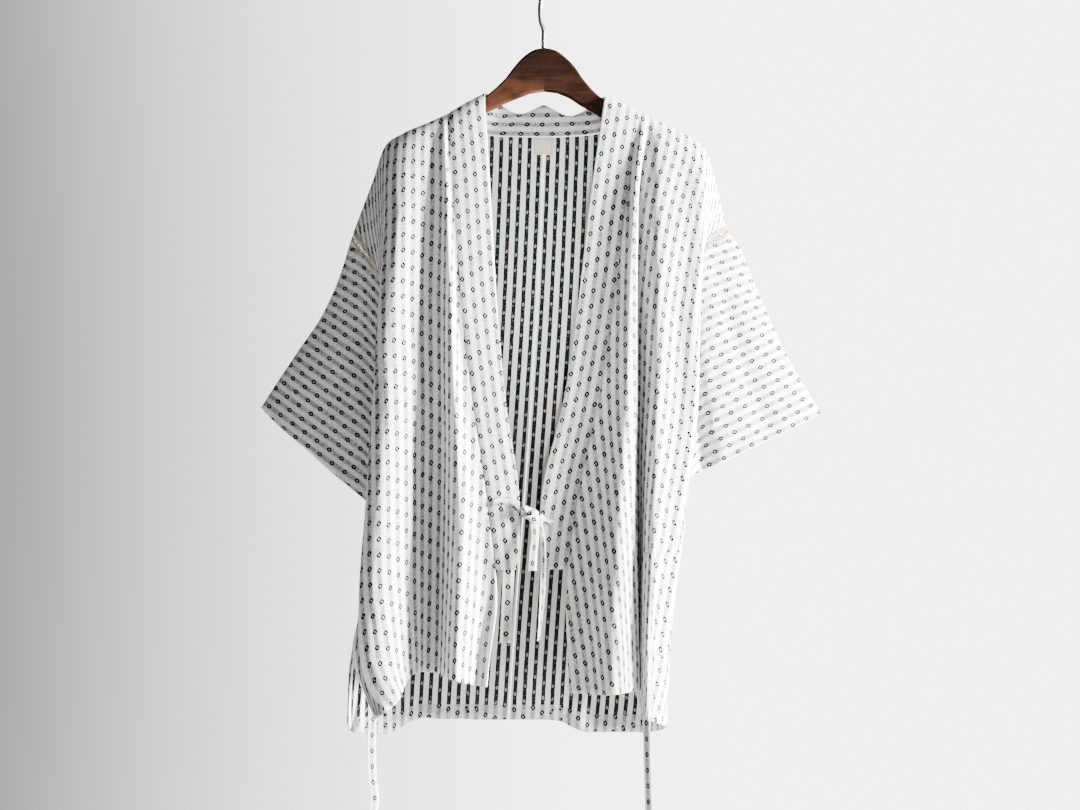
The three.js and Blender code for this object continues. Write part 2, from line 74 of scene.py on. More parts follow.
# Folds of each front from the collar seam to the side edge: x and y at the nine levels,
# z at crest, turn and hem, or at all nine. bandEdge is the free edge of the collar band.
FRONT_RIGHT = [
  dict(fold="bandEdge", x=[-77, -77.5, -69, -61.5, -50, -32, -36, -36, -36],
    y=[0, -9, -26, -29, -33, -36, -33, -33, -33], z=[-166, -169.5, -942]),
  dict(fold="collarSeam", x=[-125, -125, -117, -108, -93, -74, -61, -70, -75],
    y=[0, -10, -26, -30, -33, -36, -34, -34, -36], z=[-192.7, -195.5, -942]),
  dict(fold="edgeValley", x=[-127, -127, -122, -114, -104, -87, -77, -83, -85],
    y=[0, -10, -26, -30, -34, -38, -31, -28, -28], z=[-193.6, -196.5, -942]),
  dict(fold="innerCrest", x=[-131, -131, -126, -121, -116, -110, -111, -113, -114],
    y=[0, -10, -32, -38, -44, -50, -54, -56, -56], z=[-195.4, -198.5, -931]),
  dict(fold="valley", x=[-138, -138, -137, -140, -139, -140, -142, -143, -144],
    y=[0, -10, -20, -18, -16, -14, -12, -11, -11], z=[-198.6, -201.5, -927]),
  dict(fold="slope", x=[-156, -156, -161, -168, -171, -174, -175, -174, -172],
    y=[0, -10, -27, -30, -34, -36, -38, -38, -38], z=[-206.4, -209.5, -927]),
  dict(fold="crown", x=[-182, -182, -186, -196, -201, -206, -209, -203, -189],
    y=[0, -10, -30, -38, -46, -54, -58, -58, -54], z=[-217.2, -220.5, -959]),
  dict(fold="ridge", x=[-207, -206, -203, -214, -221, -230, -237, -230, -203],
    y=[0, -9, -25, -32, -38, -44, -50, -56, -56], z=[-233, -237, -971]),
  dict(fold="turn", x=[-224.7, -223, -213, -210, -214, -223, -236, -246, -211],
    y=[2, -5, -20, -19, -19, -22, -28, -40, -52],
    z=[-279.5, -283, -348, -448, -570, -700, -830, -900, -977]),
  dict(fold="side", x=[-252, -249.5, -219, -202, -178, -182, -222, -250, -218],
    y=[6, 0, -12, -6, 0, 0, -4, -20, -48],
    z=[-350, -356, -402, -475, -560, -700, -830, -896, -982]),
]
FRONT_LEFT = [
  dict(fold="bandEdge", x=[80, 79.5, 60, 45, 25.5, -4, 3, 3, 3],
    y=[0, -9, -24, -27, -29.5, -32, -28, -28, -28], z=[-171, -174, -951]),
  dict(fold="collarSeam", x=[126, 126, 108, 92, 71, 43, 29, 31, 33],
    y=[0, -10, -24, -27, -30, -32, -28, -28, -30], z=[-191.2, -194, -951]),
  dict(fold="innerFlank", x=[127.5, 127.5, 112, 100, 87, 69, 60, 60, 60],
    y=[0, -10, -28, -32, -36, -38, -38, -38, -38], z=[-191.9, -195, -951]),
  dict(fold="innerCrest", x=[130, 130, 117, 110, 106, 98, 90, 87, 87],
    y=[0, -10, -34, -42, -48, -54, -56, -56, -56], z=[-193, -196, -949]),
  dict(fold="tuckEdge", x=[133, 133, 121, 119, 119, 118, 120, 122, 122],
    y=[0, -10, -31, -38, -41, -42, -42, -42, -42], z=[-194.3, -197.5, -945]),
  dict(fold="valley", x=[137, 137, 125, 122, 122, 121, 121, 121, 121],
    y=[0, -10, -19, -14, -12, -11, -11, -11, -11], z=[-196.3, -199.5, -952]),
  dict(fold="sideCrest", x=[150, 150, 146, 144, 143, 140, 134, 131, 131],
    y=[0, -10, -32, -40, -46, -50, -52, -52, -52], z=[-202.6, -205.5, -980]),
  dict(fold="softValley", x=[179, 179, 185, 178, 172, 164, 150, 144, 143],
    y=[0, -10, -27, -32, -36, -40, -44, -46, -46], z=[-216.5, -219.5, -986]),
  dict(fold="ridge", x=[209, 208, 206, 200, 197, 184, 167, 161, 155],
    y=[0, -9, -26, -30, -32, -34, -34, -32, -32], z=[-236, -240, -993]),
  dict(fold="turn", x=[225.4, 224, 212, 204, 199, 186, 170, 164, 160],
    y=[2, -5, -19, -17, -16, -18, -20, -20, -22],
    z=[-279.5, -283, -338, -444, -570, -700, -830, -900, -997]),
  dict(fold="side", x=[239.3, 237, 211, 194, 166, 156, 146, 152, 158],
    y=[4, -1, -11, -6, 0, 0, -2, -6, -12],
    z=[-344, -349, -366, -455, -558, -700, -830, -898, -1000]),
]

# Folds of each back, in the order of the front's, from the collar point to the side edge:
# x and y at the six heights and the hem, z at the hem, or at all seven.
BACK_RIGHT = [
  dict(fold="collarPoint", x=[-104, -101, -100, -101, -104, -105, -116],
    y=[31, 33, 35, 36, 35, 34, 34], z=[-997]),
  dict(fold="b1", x=[-116, -114, -114, -115, -119, -121, -131],
    y=[30, 33, 37, 38, 37, 35, 34], z=[-997]),
  dict(fold="b2", x=[-128, -128, -129, -131, -136, -139, -147],
    y=[29, 32, 35, 36, 36, 34, 34], z=[-996.5]),
  dict(fold="b3", x=[-142, -144, -145, -148, -154, -158, -163],
    y=[29, 31, 34, 35, 36, 35, 34], z=[-996]),
  dict(fold="b4", x=[-158, -161, -163, -167, -174, -179, -181],
    y=[28, 32, 36, 37, 36, 33, 30], z=[-1001]),
  dict(fold="crown", x=[-182, -182, -186, -191, -199, -206, -205],
    y=[28, 35, 39, 39, 35, 29, 25], z=[-1014]),
  dict(fold="ridge", x=[-202, -206, -206, -211, -221, -232, -236],
    y=[27, 33, 33, 32, 26, 15, 16], z=[-1014]),
  dict(fold="turn", x=[-211, -208, -202, -206, -226, -246, -253],
    y=[25, 27, 20, 19, 12, -4, 5],
    z=[-348, -448, -570, -700, -830, -900, -1009]),
  dict(fold="side", x=[-219, -202, -178, -182, -222, -250, -259],
    y=[21, 18, 0, 0, -4, -20, -5], z=[-402, -475, -560, -700, -830, -896, -996]),
]
BACK_LEFT = [
  dict(fold="collarPoint", x=[103, 94, 85, 75, 62, 55, 26],
    y=[30, 33, 36, 36, 34, 33, 32], z=[-1001]),
  dict(fold="b1", x=[112, 103, 93, 82, 69, 61, 36],
    y=[29, 32, 35, 35, 33, 32, 29], z=[-1006]),
  dict(fold="b2", x=[121, 112, 102, 91, 78, 70, 47],
    y=[29, 31, 34, 34, 33, 32, 27], z=[-1010.5]),
  dict(fold="b3", x=[131, 122, 112, 101, 88, 80, 59],
    y=[29, 32, 35, 36, 35, 33, 30], z=[-1014]),
  dict(fold="b4", x=[142, 133, 124, 113, 100, 92, 74],
    y=[28, 33, 37, 37, 36, 35, 33], z=[-1014.5]),
  dict(fold="b5", x=[157, 148, 140, 128, 114, 106, 93],
    y=[28, 33, 38, 38, 36, 35, 34], z=[-1014.5]),
  dict(fold="b6", x=[180, 170, 162, 149, 131, 123, 113],
    y=[28, 34, 38, 38, 34, 33, 31], z=[-1014]),
  dict(fold="ridge", x=[203, 196, 188, 176, 152, 143, 136],
    y=[27, 32, 33, 31, 27, 26, 25], z=[-1013]),
  dict(fold="turn", x=[208, 200, 185, 173, 156, 153, 152],
    y=[22, 25, 18, 16, 12, 10, 15],
    z=[-338, -444, -570, -700, -830, -900, -1009]),
  dict(fold="side", x=[211, 194, 166, 156, 146, 152, 159],
    y=[20, 16, 0, 0, -2, -6, 4], z=[-366, -455, -558, -700, -830, -898, -1004.5]),
]

# Back neck, from the collar point to the centre-back seam: x and y at the nine levels,
# z at crest, turn and hem; free is the point on the band's free edge above.
CENTRE_BACK = dict(fold="centreBack", x=[0, 0, -3, -9, -17, -26, -36, -41, -47],
  y=[22, 23, 28, 33, 36, 37, 36, 35, 34], z=[-219.7, -228, -998], free=[0, 22, -175.8])
NECK_RIGHT = [
  dict(fold="neckTurn", x=[-121, -120, -96, -92, -91, -92, -95, -96, -106],
    y=[9.5, 14, 31, 33, 34, 35, 34, 34, 34], z=[-197, -203, -997], free=[-72, 10, -167]),
  dict(fold="neck", x=[-77, -77, -64, -63, -66, -69, -74, -76, -90],
    y=[21.5, 23, 29, 32, 36, 36, 36, 35, 34], z=[-216, -224, -998], free=[-54, 21, -179]),
  dict(fold="midNeck", x=[-38, -38, -33, -36, -41, -47, -54, -58, -68],
    y=[22, 23, 28, 32, 34, 34, 34, 34, 34], z=[-219, -227, -998], free=[-33, 22, -188.5]),
  CENTRE_BACK,
]
NECK_LEFT = [
  dict(fold="neckTurn", x=[122, 121, 93, 85, 77, 68, 54, 46, 16],
    y=[9.5, 14, 31, 33, 35, 35, 34, 34, 33], z=[-196, -202, -999], free=[73, 10, -171]),
  dict(fold="neck", x=[76, 76, 62, 54, 46, 39, 27, 20, -1],
    y=[21.5, 23, 29, 33, 36, 36, 36, 35, 34], z=[-214, -222, -998], free=[59, 21, -181]),
  dict(fold="midNeck", x=[38, 38, 30, 24, 16, 8, -3, -9, -24],
    y=[22, 23, 28, 32, 35, 35, 34, 34, 34], z=[-218.5, -226.5, -998], free=[35, 22, -191]),
  CENTRE_BACK,
]
# Columns in each space between two folds.
COLUMNS = {
  "right": [1, 2, 3, 2, 2, 3, 2, 3],
  "left": [1, 2, 2, 2, 3, 2, 2, 2, 3],
  "neck": [1, 2, 2, 2],
}

# Sleeves, from armhole to cuff: points of the upper fold and of the lower fold, the way
# the front layer faces, half of the depth, and the troughs of the front layer as
# [place from upper to lower fold, width, depth].
SLEEVES = {
  "right": dict(
    upper=[[-252, 6, -350], [-274, 18, -413], [-298.4, 28, -461.3], [-325.8, 38, -499],
      [-361, 52, -548], [-383, 60, -580]],
    lower=[[-178, 1, -552.5], [-187, 1.4, -556], [-196, 1.5, -605], [-205, 2, -660],
      [-214, 2, -720]],
    face=[-0.336, -0.942, 0], depth=14, troughs=[[0.42, 0.16, 3]],
  ),
  "left": dict(
    upper=[[239.3, 4, -344], [258.2, 8, -367.3], [275.5, 14, -407.9], [295.2, 19, -450.9],
      [317.6, 24, -499.5], [345.8, 30, -548.4], [371.3, 35, -588.2]],
    lower=[[166, 1.2, -550.5], [174, 1.6, -554], [178, 2, -592], [176, 3, -635], [172, 4, -682]],
    face=[0.164, -0.987, 0], depth=14, troughs=[[0.8, 0.12, 9], [0.35, 0.15, 3]],
  ),
}

# Ties: the middle line of each, the way its flat lies across, and its width at both ends.
TIES = [
  dict(name="tie_front_right", across=[0.25, 0, 1], width=[12, 9],
    path=[[-66, -38.2, -703], [-56, -38.3, -701], [-44, -38.8, -702], [-30.9, -41, -712.5]]),
  dict(name="tie_front_left", across=[0.3, 0, 1], width=[10, 8],
    path=[[14, -33.8, -729], [7, -34, -728], [0.6, -35.4, -725], [-4.6, -40, -720]]),
  dict(name="tie_tail_right", across=[1, 0.1, 0], width=[9, 10.5],
    path=[[-13, -41.2, -730], [-11.8, -43, -746], [-13, -43.5, -761], [-14.5, -43.5, -776],
      [-15, -43, -790.5]]),
  dict(name="tie_tail_left", across=[0.9, 0.43, 0], width=[6, 7.5],
    path=[[-5.9, -40, -726.6], [-1.5, -38.5, -752], [-0.5, -37.5, -776], [-1.2, -37, -800],
      [-2.8, -36.5, -830], [-5, -36, -858], [-7, -35.5, -882]]),
  dict(name="tie_inner_right", across=[1, 0, 0], width=[15, 14.5],
    path=[[-46, -32.3, -762], [-46.4, -31.7, -786], [-46.8, -29, -815], [-48.4, -27, -850],
      [-50.3, -26, -886]]),
  dict(name="tie_side_right", across=[0.94, 0.34, 0], width=[11, 11],
    path=[[-184.2, 1, -738], [-193, 3, -780], [-203, 3, -850], [-214, 1, -915], [-224, 0, -975],
      [-226.5, -3, -1010], [-225.5, -6, -1066], [-222.5, -7, -1093], [-226, -8, -1123]]),
  dict(name="tie_side_left", across=[0.94, -0.34, 0], width=[10, 10],
    path=[[146.7, 1, -740], [141, 3, -790], [138, 4, -850], [136, 3, -915], [135, 0, -975],
      [135.5, -3, -1010], [136.8, -5, -1060], [138.5, -6, -1120]]),
]

# Outlines of the hanger's arms, x and z, from the joint over the top to the end.
ARM_RIGHT = [
  [-0.15, -106.5], [-9, -107.5], [-16.8, -110.5], [-28.9, -119.6], [-41, -133.1],
  [-50, -145.2], [-60.5, -155.9], [-71, -165], [-78, -170.4], [-85, -175.8], [-100, -186],
  [-125, -199], [-163, -216.4], [-186, -227], [-195, -233], [-199, -241], [-197, -250],
  [-188, -254], [-163, -243], [-125, -222], [-100, -206], [-78, -192], [-65, -186],
  [-50, -178.5], [-35, -172.4], [-20, -166.4], [-0.15, -162.6],
]
ARM_LEFT = [
  [0.15, -106.5], [9, -107.5], [17.5, -110.5], [29.5, -119.6], [41, -131.6], [52, -147.6],
  [65.4, -163], [72, -169], [79, -175], [86, -178.8], [100, -186], [125, -198], [163, -215.4],
  [186, -227], [195, -233], [199, -241], [197, -250], [188, -254], [163, -243], [125, -222],
  [100, -210], [76, -198], [66, -191], [50, -183], [34, -172.4], [18, -165.6], [0.15, -162.6],
]
# Middle line of the hook rod, x and z, from the wood up and round.
HOOK = [
  [-0.5, -106.2], [-0.5, -94], [-0.6, -82], [-3.6, -73], [-4.8, -66], [-4.8, -48],
  [-2.2, -39], [6.5, -34], [14.8, -28.2], [19.6, -19.5], [18.8, -8.8], [11.5, 0.6], [0, 3.1],
  [-11.5, 0.6], [-18.8, -8.8], [-20.2, -19], [-17.5, -27.5],
]


# ---------------- curves and grids
TINY = 1e-9  # keeps a division from failing
NEAR = 1e-6  # slack when a level is compared
SPLIT_ROWS = 5  # fine rows in each coarse one
SPLIT_COLUMNS = 5  # fine columns in each coarse one


def through(points, places):
    """Points at the given places on the smooth curve through points (first is place 0)."""
    p = np.asarray(points, float)
    last = len(p) - 1
    t = np.clip(np.asarray(places, float), 0, last)
    k = np.minimum(t.astype(int), last - 1)
    w = (t - k)[:, None]
    ends = np.vstack([2 * p[0] - p[1], p, 2 * p[-1] - p[-2]])
    a, b, c, d = ends[k], ends[k + 1], ends[k + 2], ends[k + 3]
    steps = [np.sum((q - r) ** 2, 1)[:, None] ** 0.25 for q, r in ((b, a), (c, b), (d, c))]
    s1 = np.where(steps[1] < 1e-4, 1.0, steps[1])
    s0 = np.where(steps[0] < 1e-4, s1, steps[0])
    s2 = np.where(steps[2] < 1e-4, s1, steps[2])
    t1 = ((b - a) / s0 - (c - a) / (s0 + s1) + (c - b) / s1) * s1
    t2 = ((c - b) / s1 - (d - b) / (s1 + s2) + (d - c) / s2) * s1
    return (b + t1 * w + (-3 * b + 3 * c - 2 * t1 - t2) * w ** 2
            + (2 * b - 2 * c + t1 + t2) * w ** 3)


def full_line(row):
    """A fold line of nine points; the six heights stand for a z that has three values."""
    z = row["z"] if len(row["z"]) == 9 else row["z"][:2] + HEIGHTS + row["z"][2:]
    return np.array([row["x"], row["y"], z], float).T


def back_line(row, front):
    """A back's fold line: its front's crest, the turn mirrored in depth, then the row."""
    z = row["z"] if len(row["z"]) == 7 else HEIGHTS + row["z"]
    turn = front[1].copy()
    turn[1] = 2 * front[0][1] - front[1][1]
    return np.vstack([front[0], turn, np.array([row["x"], row["y"], z], float).T])


def finer(rows, count):
    """The same levels with count steps in each space between two of them."""
    out = [rows[0]]
    for a, b in zip(rows, rows[1:]):
        out += [a + (b - a) * (i + 1) / count for i in range(count)]
    return np.array(out)


LEVELS = finer(ROWS, SPLIT_ROWS)


def between(low, high):
    """Which of the fine levels lie from low to high."""
    return (LEVELS >= low - NEAR) & (LEVELS <= high + NEAR)


def fine_places(columns):
    """Places of the fine columns, one space between two folds after another."""
    places = [0.0]
    for gap, count in enumerate(columns):
        steps = count * SPLIT_COLUMNS
        places += [gap + (c + 1) / steps for c in range(steps)]
    return places


def loft(lines, columns):
    """Grid through fold lines: a row for each fine level, a column for each fine place."""
    lines = [through(line, LEVELS) for line in lines]
    places = fine_places(columns)
    return np.array([through([line[i] for line in lines], places)
                     for i in range(len(LEVELS))])


def ramp(value, none, full):
    """0 at none and before it, 1 at full and past it, straight between."""
    return np.clip((value - none) / (full - none), 0, 1)


def unit(vector):
    return vector / np.linalg.norm(vector)


def normals_of(grid, ring=False):
    if ring:
        across = np.roll(grid, -1, 1) - np.roll(grid, 1, 1)
    else:
        across = np.gradient(grid, axis=1)
    down = np.gradient(grid, axis=0)
    n = np.cross(down, across)
    return n / np.maximum(np.linalg.norm(n, axis=2, keepdims=True), TINY)


def lengths(grid, axis):
    """Distance along the grid from its first row or column, in mm."""
    step = np.linalg.norm(np.diff(grid, axis=axis), axis=2)
    start = np.zeros_like(step[:1] if axis == 0 else step[:, :1])
    return np.concatenate([start, np.cumsum(step, axis=axis)], axis=axis)


def area_of(grid, ring=False):
    """Area of a grid in square metres."""
    if ring:
        grid = np.concatenate([grid, grid[:, :1]], 1)
    a = grid[1:, 1:] - grid[:-1, :-1]
    b = grid[1:, :-1] - grid[:-1, 1:]
    return float(np.linalg.norm(np.cross(a, b), axis=2).sum() / 2) * MM * MM


RNG = np.random.default_rng(7)
TURN = 6.283  # one full turn of a wave


def waves(count, across, down, lean):
    """Random waves: length across and down the cloth in mm, two phases, and a lean."""
    return [(RNG.uniform(*across), RNG.uniform(*down), RNG.uniform(0, 6.28),
             RNG.uniform(0, 6.28), RNG.uniform(-lean, lean)) for _ in range(count)]


WAVES = waves(9, (28, 75), (180, 520), 0.5)
FINE = waves(8, (9, 22), (40, 130), 0.9)


def unevenness(u, v, large, small):
    """Soft wrinkles that run down the cloth, in mm off the surface."""
    off = np.zeros_like(u)
    for group, height, tilt in ((WAVES, large, 0.3), (FINE, small, 0.4)):
        for across, down, a, b, lean in group:
            wave = np.sin(TURN * (u + lean * v * tilt) / across + a)
            off += height / len(group) * wave * np.sin(TURN * v / down + b)
    return off


# ---------------- meshes
def new_object(name, verts, faces, materials, face_slots=None, uvs=None):
    """A smooth mesh from points in mm; uvs are the cut coordinates of each face's corners."""
    if uvs is None:
        uvs = [[(0.0, 0.0)] * len(face) for face in faces]
    mesh = bpy.data.meshes.new(name)
    mesh.from_pydata([tuple(map(float, v)) for v in np.asarray(verts) * MM], [], faces)
    layer = mesh.uv_layers.new(name="cut")
    flat = [c for uv in uvs for c in uv]
    layer.data.foreach_set("uv", np.array(flat, np.float32).ravel() * MM)
    for material in materials:
        mesh.materials.append(material)
    mesh.polygons.foreach_set("material_index", face_slots or [0] * len(faces))
    mesh.polygons.foreach_set("use_smooth", [True] * len(mesh.polygons))
    mesh.update()
    obj = bpy.data.objects.new(name, mesh)
    bpy.context.scene.collection.objects.link(obj)
    return obj


def settle(obj, node):
    """Hide the imported part of the node a piece stands for, and attach the piece to the root.
    """
    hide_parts(node)
    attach(obj, "root")
    return obj


def tube_faces(rows, wide, start=0, close=False):
    """Faces round rings of wide points each, with end caps unless the tube is closed."""
    faces = []
    for i in range(rows if close else rows - 1):
        low, high = start + i * wide, start + (i + 1) % rows * wide
        for j in range(wide):
            k = (j + 1) % wide
            faces.append((low + j, low + k, high + k, high + j))
    if not close:
        faces.append(tuple(start + j for j in reversed(range(wide))))
        faces.append(tuple(start + (rows - 1) * wide + j for j in range(wide)))
    return faces


def rings_along(middle, radius, wide, across, tip):
    """Rings of wide points round a path; tip is the relative size of the end rings."""
    ahead = np.gradient(middle, axis=0)
    verts = []
    for i, centre in enumerate(middle):
        way = unit(ahead[i])
        side = unit(np.cross(way, across))
        up = np.cross(side, way)
        r = radius * (tip if i in (0, len(middle) - 1) else 1.0)
        for j in range(wide):
            a = 2 * math.pi * j / wide
            verts.append(centre + side * r * math.cos(a) + up * r * math.sin(a))
    return verts


def face_outwards(obj, flat_ends=False):
    """Turn the faces outwards; flat_ends leaves the large end faces unsmoothed."""
    mesh = bmesh.new()
    mesh.from_mesh(obj.data)
    bmesh.ops.recalc_face_normals(mesh, faces=mesh.faces)
    for face in mesh.faces:
        if flat_ends and (len(face.verts) > 4 or abs(face.normal.x) > 0.999):
            face.smooth = False
    mesh.to_mesh(obj.data)
    mesh.free()
    return obj


def wall(name, patches, thickness, slots, hem=None):
    """A closed wall round grids that share edges. Each patch has grid, u and v in mm;
    slots are the materials of the plus side and of the minus side."""
    index, points, quads, quad_uvs, turned = {}, [], [], [], []
    for patch in patches:
        grid, u, v = patch["grid"], patch["u"], patch["v"]
        rows, cols = grid.shape[:2]
        ids = np.empty((rows, cols), int)
        for i in range(rows):
            for j in range(cols):
                key = tuple(np.round(grid[i, j] * 100).astype(int))
                if key not in index:
                    index[key] = len(points)
                    points.append(grid[i, j])
                ids[i, j] = index[key]
        wide = cols if patch.get("ring") else cols - 1
        for i in range(rows - 1):
            for j in range(wide):
                k = (j + 1) % cols
                corners = [(i, j), (i + 1, j), (i + 1, k), (i, k)]
                cut = [(i, j), (i + 1, j), (i + 1, j + 1), (i, j + 1)]
                if patch.get("flip"):
                    corners.reverse()
                    cut.reverse()
                quads.append([ids[c] for c in corners])
                quad_uvs.append([(u[c], v[c]) for c in cut])
                turned.append(hem is not None and v[i + 1, j] > patch["v_end"][j] - hem)
    points = np.array(points)
    q = np.array(quads)
    cross = np.cross(points[q[:, 2]] - points[q[:, 0]], points[q[:, 3]] - points[q[:, 1]])
    normals = np.zeros_like(points)
    for k in range(4):
        np.add.at(normals, q[:, k], cross)
    normals /= np.maximum(np.linalg.norm(normals, axis=1, keepdims=True), TINY)
    inner = np.full(len(points), thickness / 2)
    if hem is not None:
        thick = set(c for quad, t in zip(quads, turned) if t for c in quad)
        thin = set(c for quad, t in zip(quads, turned) if not t for c in quad)
        for c in thick - thin:
            inner[c] += HEM_EXTRA
    plus = points + normals * thickness / 2
    minus = points - normals * inner[:, None]
    half = len(points)
    faces, uvs, face_slots, edges = [], [], [], {}
    for quad, uv, turn in zip(quads, quad_uvs, turned):
        faces += [tuple(quad), tuple(half + c for c in reversed(quad))]
        uvs += [uv, list(reversed(uv))]
        face_slots += [0, 0 if turn else 1]
        for k in range(4):
            edges[(quad[k], quad[(k + 1) % 4])] = (uv[k], uv[(k + 1) % 4])
    for (a, b), (ua, ub) in edges.items():
        if (b, a) not in edges:
            faces.append((b, a, half + a, half + b))
            uvs.append([ub, ua, ua, ub])
            face_slots.append(0)
    return new_object(name, np.vstack([plus, minus]), faces, slots, face_slots, uvs)


# ---------------- materials
class Nodes:
    """The nodes of one tree, added one call at a time."""

    def __init__(self, tree):
        self.tree = tree

    def feed(self, value, socket):
        """Link a socket, or set its constant."""
        if isinstance(value, bpy.types.NodeSocket):
            self.tree.links.new(value, socket)
        else:
            socket.default_value = value

    def put(self, kind, inputs=(), **settings):
        node = self.tree.nodes.new(kind)
        for key, value in settings.items():
            setattr(node, key, value)
        for key, value in dict(inputs).items():
            self.feed(value, node.inputs[key])
        return node

    def split(self, where):
        return self.put("ShaderNodeSeparateXYZ", {0: where}).outputs

    def math(self, operation, a, b=0.0):
        return self.put("ShaderNodeMath", {0: a, 1: b}, operation=operation).outputs[0]

    def times(self, a, b):
        return self.math("MULTIPLY", a, b)

    def plus(self, a, b):
        return self.math("ADD", a, b)

    def minus(self, a, b):
        return self.math("SUBTRACT", a, b)

    def over(self, a, b):
        return self.math("DIVIDE", a, b)

    def absolute(self, value):
        return self.math("ABSOLUTE", value)

    def noise(self, where, scale, detail=3.0, roughness=0.55):
        """Noise with its own scale along each axis."""
        scaled = self.put("ShaderNodeVectorMath", {0: where, 1: scale}, operation="MULTIPLY")
        return self.put("ShaderNodeTexNoise", {"Vector": scaled.outputs[0], "Scale": 1.0,
                        "Detail": detail, "Roughness": roughness}).outputs["Fac"]

    def mix(self, share, a, b):
        """From colour a to colour b; a colour is a socket or three numbers."""
        node = self.put("ShaderNodeMix", data_type="RGBA")
        self.feed(share, node.inputs[0])
        for value, place in ((a, 6), (b, 7)):
            self.feed(value + (1,) if isinstance(value, tuple) else value, node.inputs[place])
        return node.outputs[2]

    def step(self, value, low, high):
        """0 at low, 1 at high, smooth between."""
        return self.put("ShaderNodeMapRange", {0: value, 1: low, 2: high, 3: 0.0, 4: 1.0},
                        interpolation_type="SMOOTHSTEP").outputs[0]


class Shader(Nodes):
    """The nodes of a new material, round its Principled BSDF."""

    def __init__(self, name, roughness, metallic=0.0):
        self.material = bpy.data.materials.new(name)
        self.material.use_nodes = True
        super().__init__(self.material.node_tree)
        self.surface = self.tree.nodes["Principled BSDF"].inputs
        self.surface["Roughness"].default_value = roughness
        self.surface["Metallic"].default_value = metallic

    def cut(self):
        return self.put("ShaderNodeUVMap", uv_map="cut").outputs[0]

    def place(self):
        return self.put("ShaderNodeTexCoord").outputs["Object"]

    def colour(self, value):
        self.feed(value, self.surface["Base Color"])

    def rough(self, value):
        self.feed(value, self.surface["Roughness"])

    def bump(self, *layers):
        """Each layer is (height, strength, distance in metres)."""
        normal = None
        for height, strength, distance in layers:
            inputs = {"Height": height, "Strength": strength, "Distance": distance}
            if normal is not None:
                inputs["Normal"] = normal
            normal = self.put("ShaderNodeBump", inputs).outputs[0]
        self.feed(normal, self.surface["Normal"])


PITCH_ACROSS = 0.0126  # from column to column of the woven motif, metres
PITCH_DOWN = 0.0205  # from motif to motif down a column, metres
DROP = -0.34  # shift of a column against the one before, in motifs
DRIFT = 0.07  # how far the weave wanders, in columns
RING = (3.2, 4.0)  # half width and half length of a dark ring outside, mm
RING_POWER = 1.5  # over 1 makes the ring's ends blunter
PALE_RING = (1.9, 2.9)  # half width and half length of a pale ring inside, mm
GREY_STRIPE = (4.2, 2.0)  # where the faint stripe starts and is full, mm off its middle
DARK_STRIPE = (3.0, 2.6)  # the same of the charcoal stripe inside
WHITES = ((0.78, 0.78, 0.79), (0.88, 0.88, 0.885))  # ground outside, from dull to clear
CREAMS = ((0.79, 0.78, 0.75), (0.88, 0.87, 0.84))  # ground inside, from dull to clear
SHADE = (0.58, 0.58, 0.59)  # specks in the white ground
GREY = (0.10, 0.10, 0.102)  # the faint stripe
INK = (0.0015, 0.0015, 0.002)  # the dark rings
CHARCOAL = (0.004, 0.004, 0.005)  # the stripes inside
WOOD_TONES = ((0.0034, 0.0018, 0.0014), (0.0180, 0.0073, 0.0044))
WOOD_PAINTED_HIGHLIGHT = (0.040, 0.0160, 0.0084)  # painted highlight: lighter wood colour low on the arm
WOOD_HIGHLIGHT_HEIGHTS = (-0.125, -0.170)  # where the painted highlight starts and is full, z in metres
STEEL_TONES = ((0.20, 0.195, 0.18), (0.46, 0.45, 0.43))
LABEL_TONES = ((0.70, 0.63, 0.48), (0.84, 0.78, 0.64))
LABEL_LINE = (0.36, 0.16, 0.12)
FLOOR_TONES = ((0.74, 0.74, 0.73), (0.78, 0.78, 0.77))


def charcoal_side(s, ax, ay, mottle, cloudy):
    """Off-white with charcoal stripes and small pale rings."""
    far = s.plus(s.over(ax, PALE_RING[0]), s.over(ay, PALE_RING[1]))
    ring = s.times(s.step(far, 0.44, 0.56), s.step(far, 0.96, 0.84))
    dark = s.times(s.step(ax, *DARK_STRIPE), s.minus(1.0, s.times(ring, 0.45)))
    gaps = s.step(mottle, 0.30, 0.46)
    dark = s.times(dark, s.plus(s.times(gaps, 0.16), 0.83))
    return s.mix(dark, s.mix(cloudy, *CREAMS), CHARCOAL)


def white_side(s, cut, ax, ay, mottle, cloudy):
    """White with columns of small dark pointed rings over a faint grey stripe."""
    far = s.plus(s.over(ax, RING[0]), s.math("POWER", s.over(ay, RING[1]), RING_POWER))
    ring = s.times(s.step(far, 0.25, 0.33), s.step(far, 1.07, 1.0))
    patchy = s.noise(cut, (190, 90, 1), 3.0, 0.6)
    edge = s.times(s.minus(patchy, 0.5), 3.0)
    stripe = s.times(s.step(s.plus(ax, edge), *GREY_STRIPE),
                     s.step(s.plus(mottle, s.times(patchy, 0.5)), 0.47, 0.90))
    ground = s.mix(s.step(mottle, 0.60, 0.40), s.mix(cloudy, *WHITES), SHADE)
    return s.mix(ring, s.mix(s.times(stripe, 0.90), ground, GREY), INK)


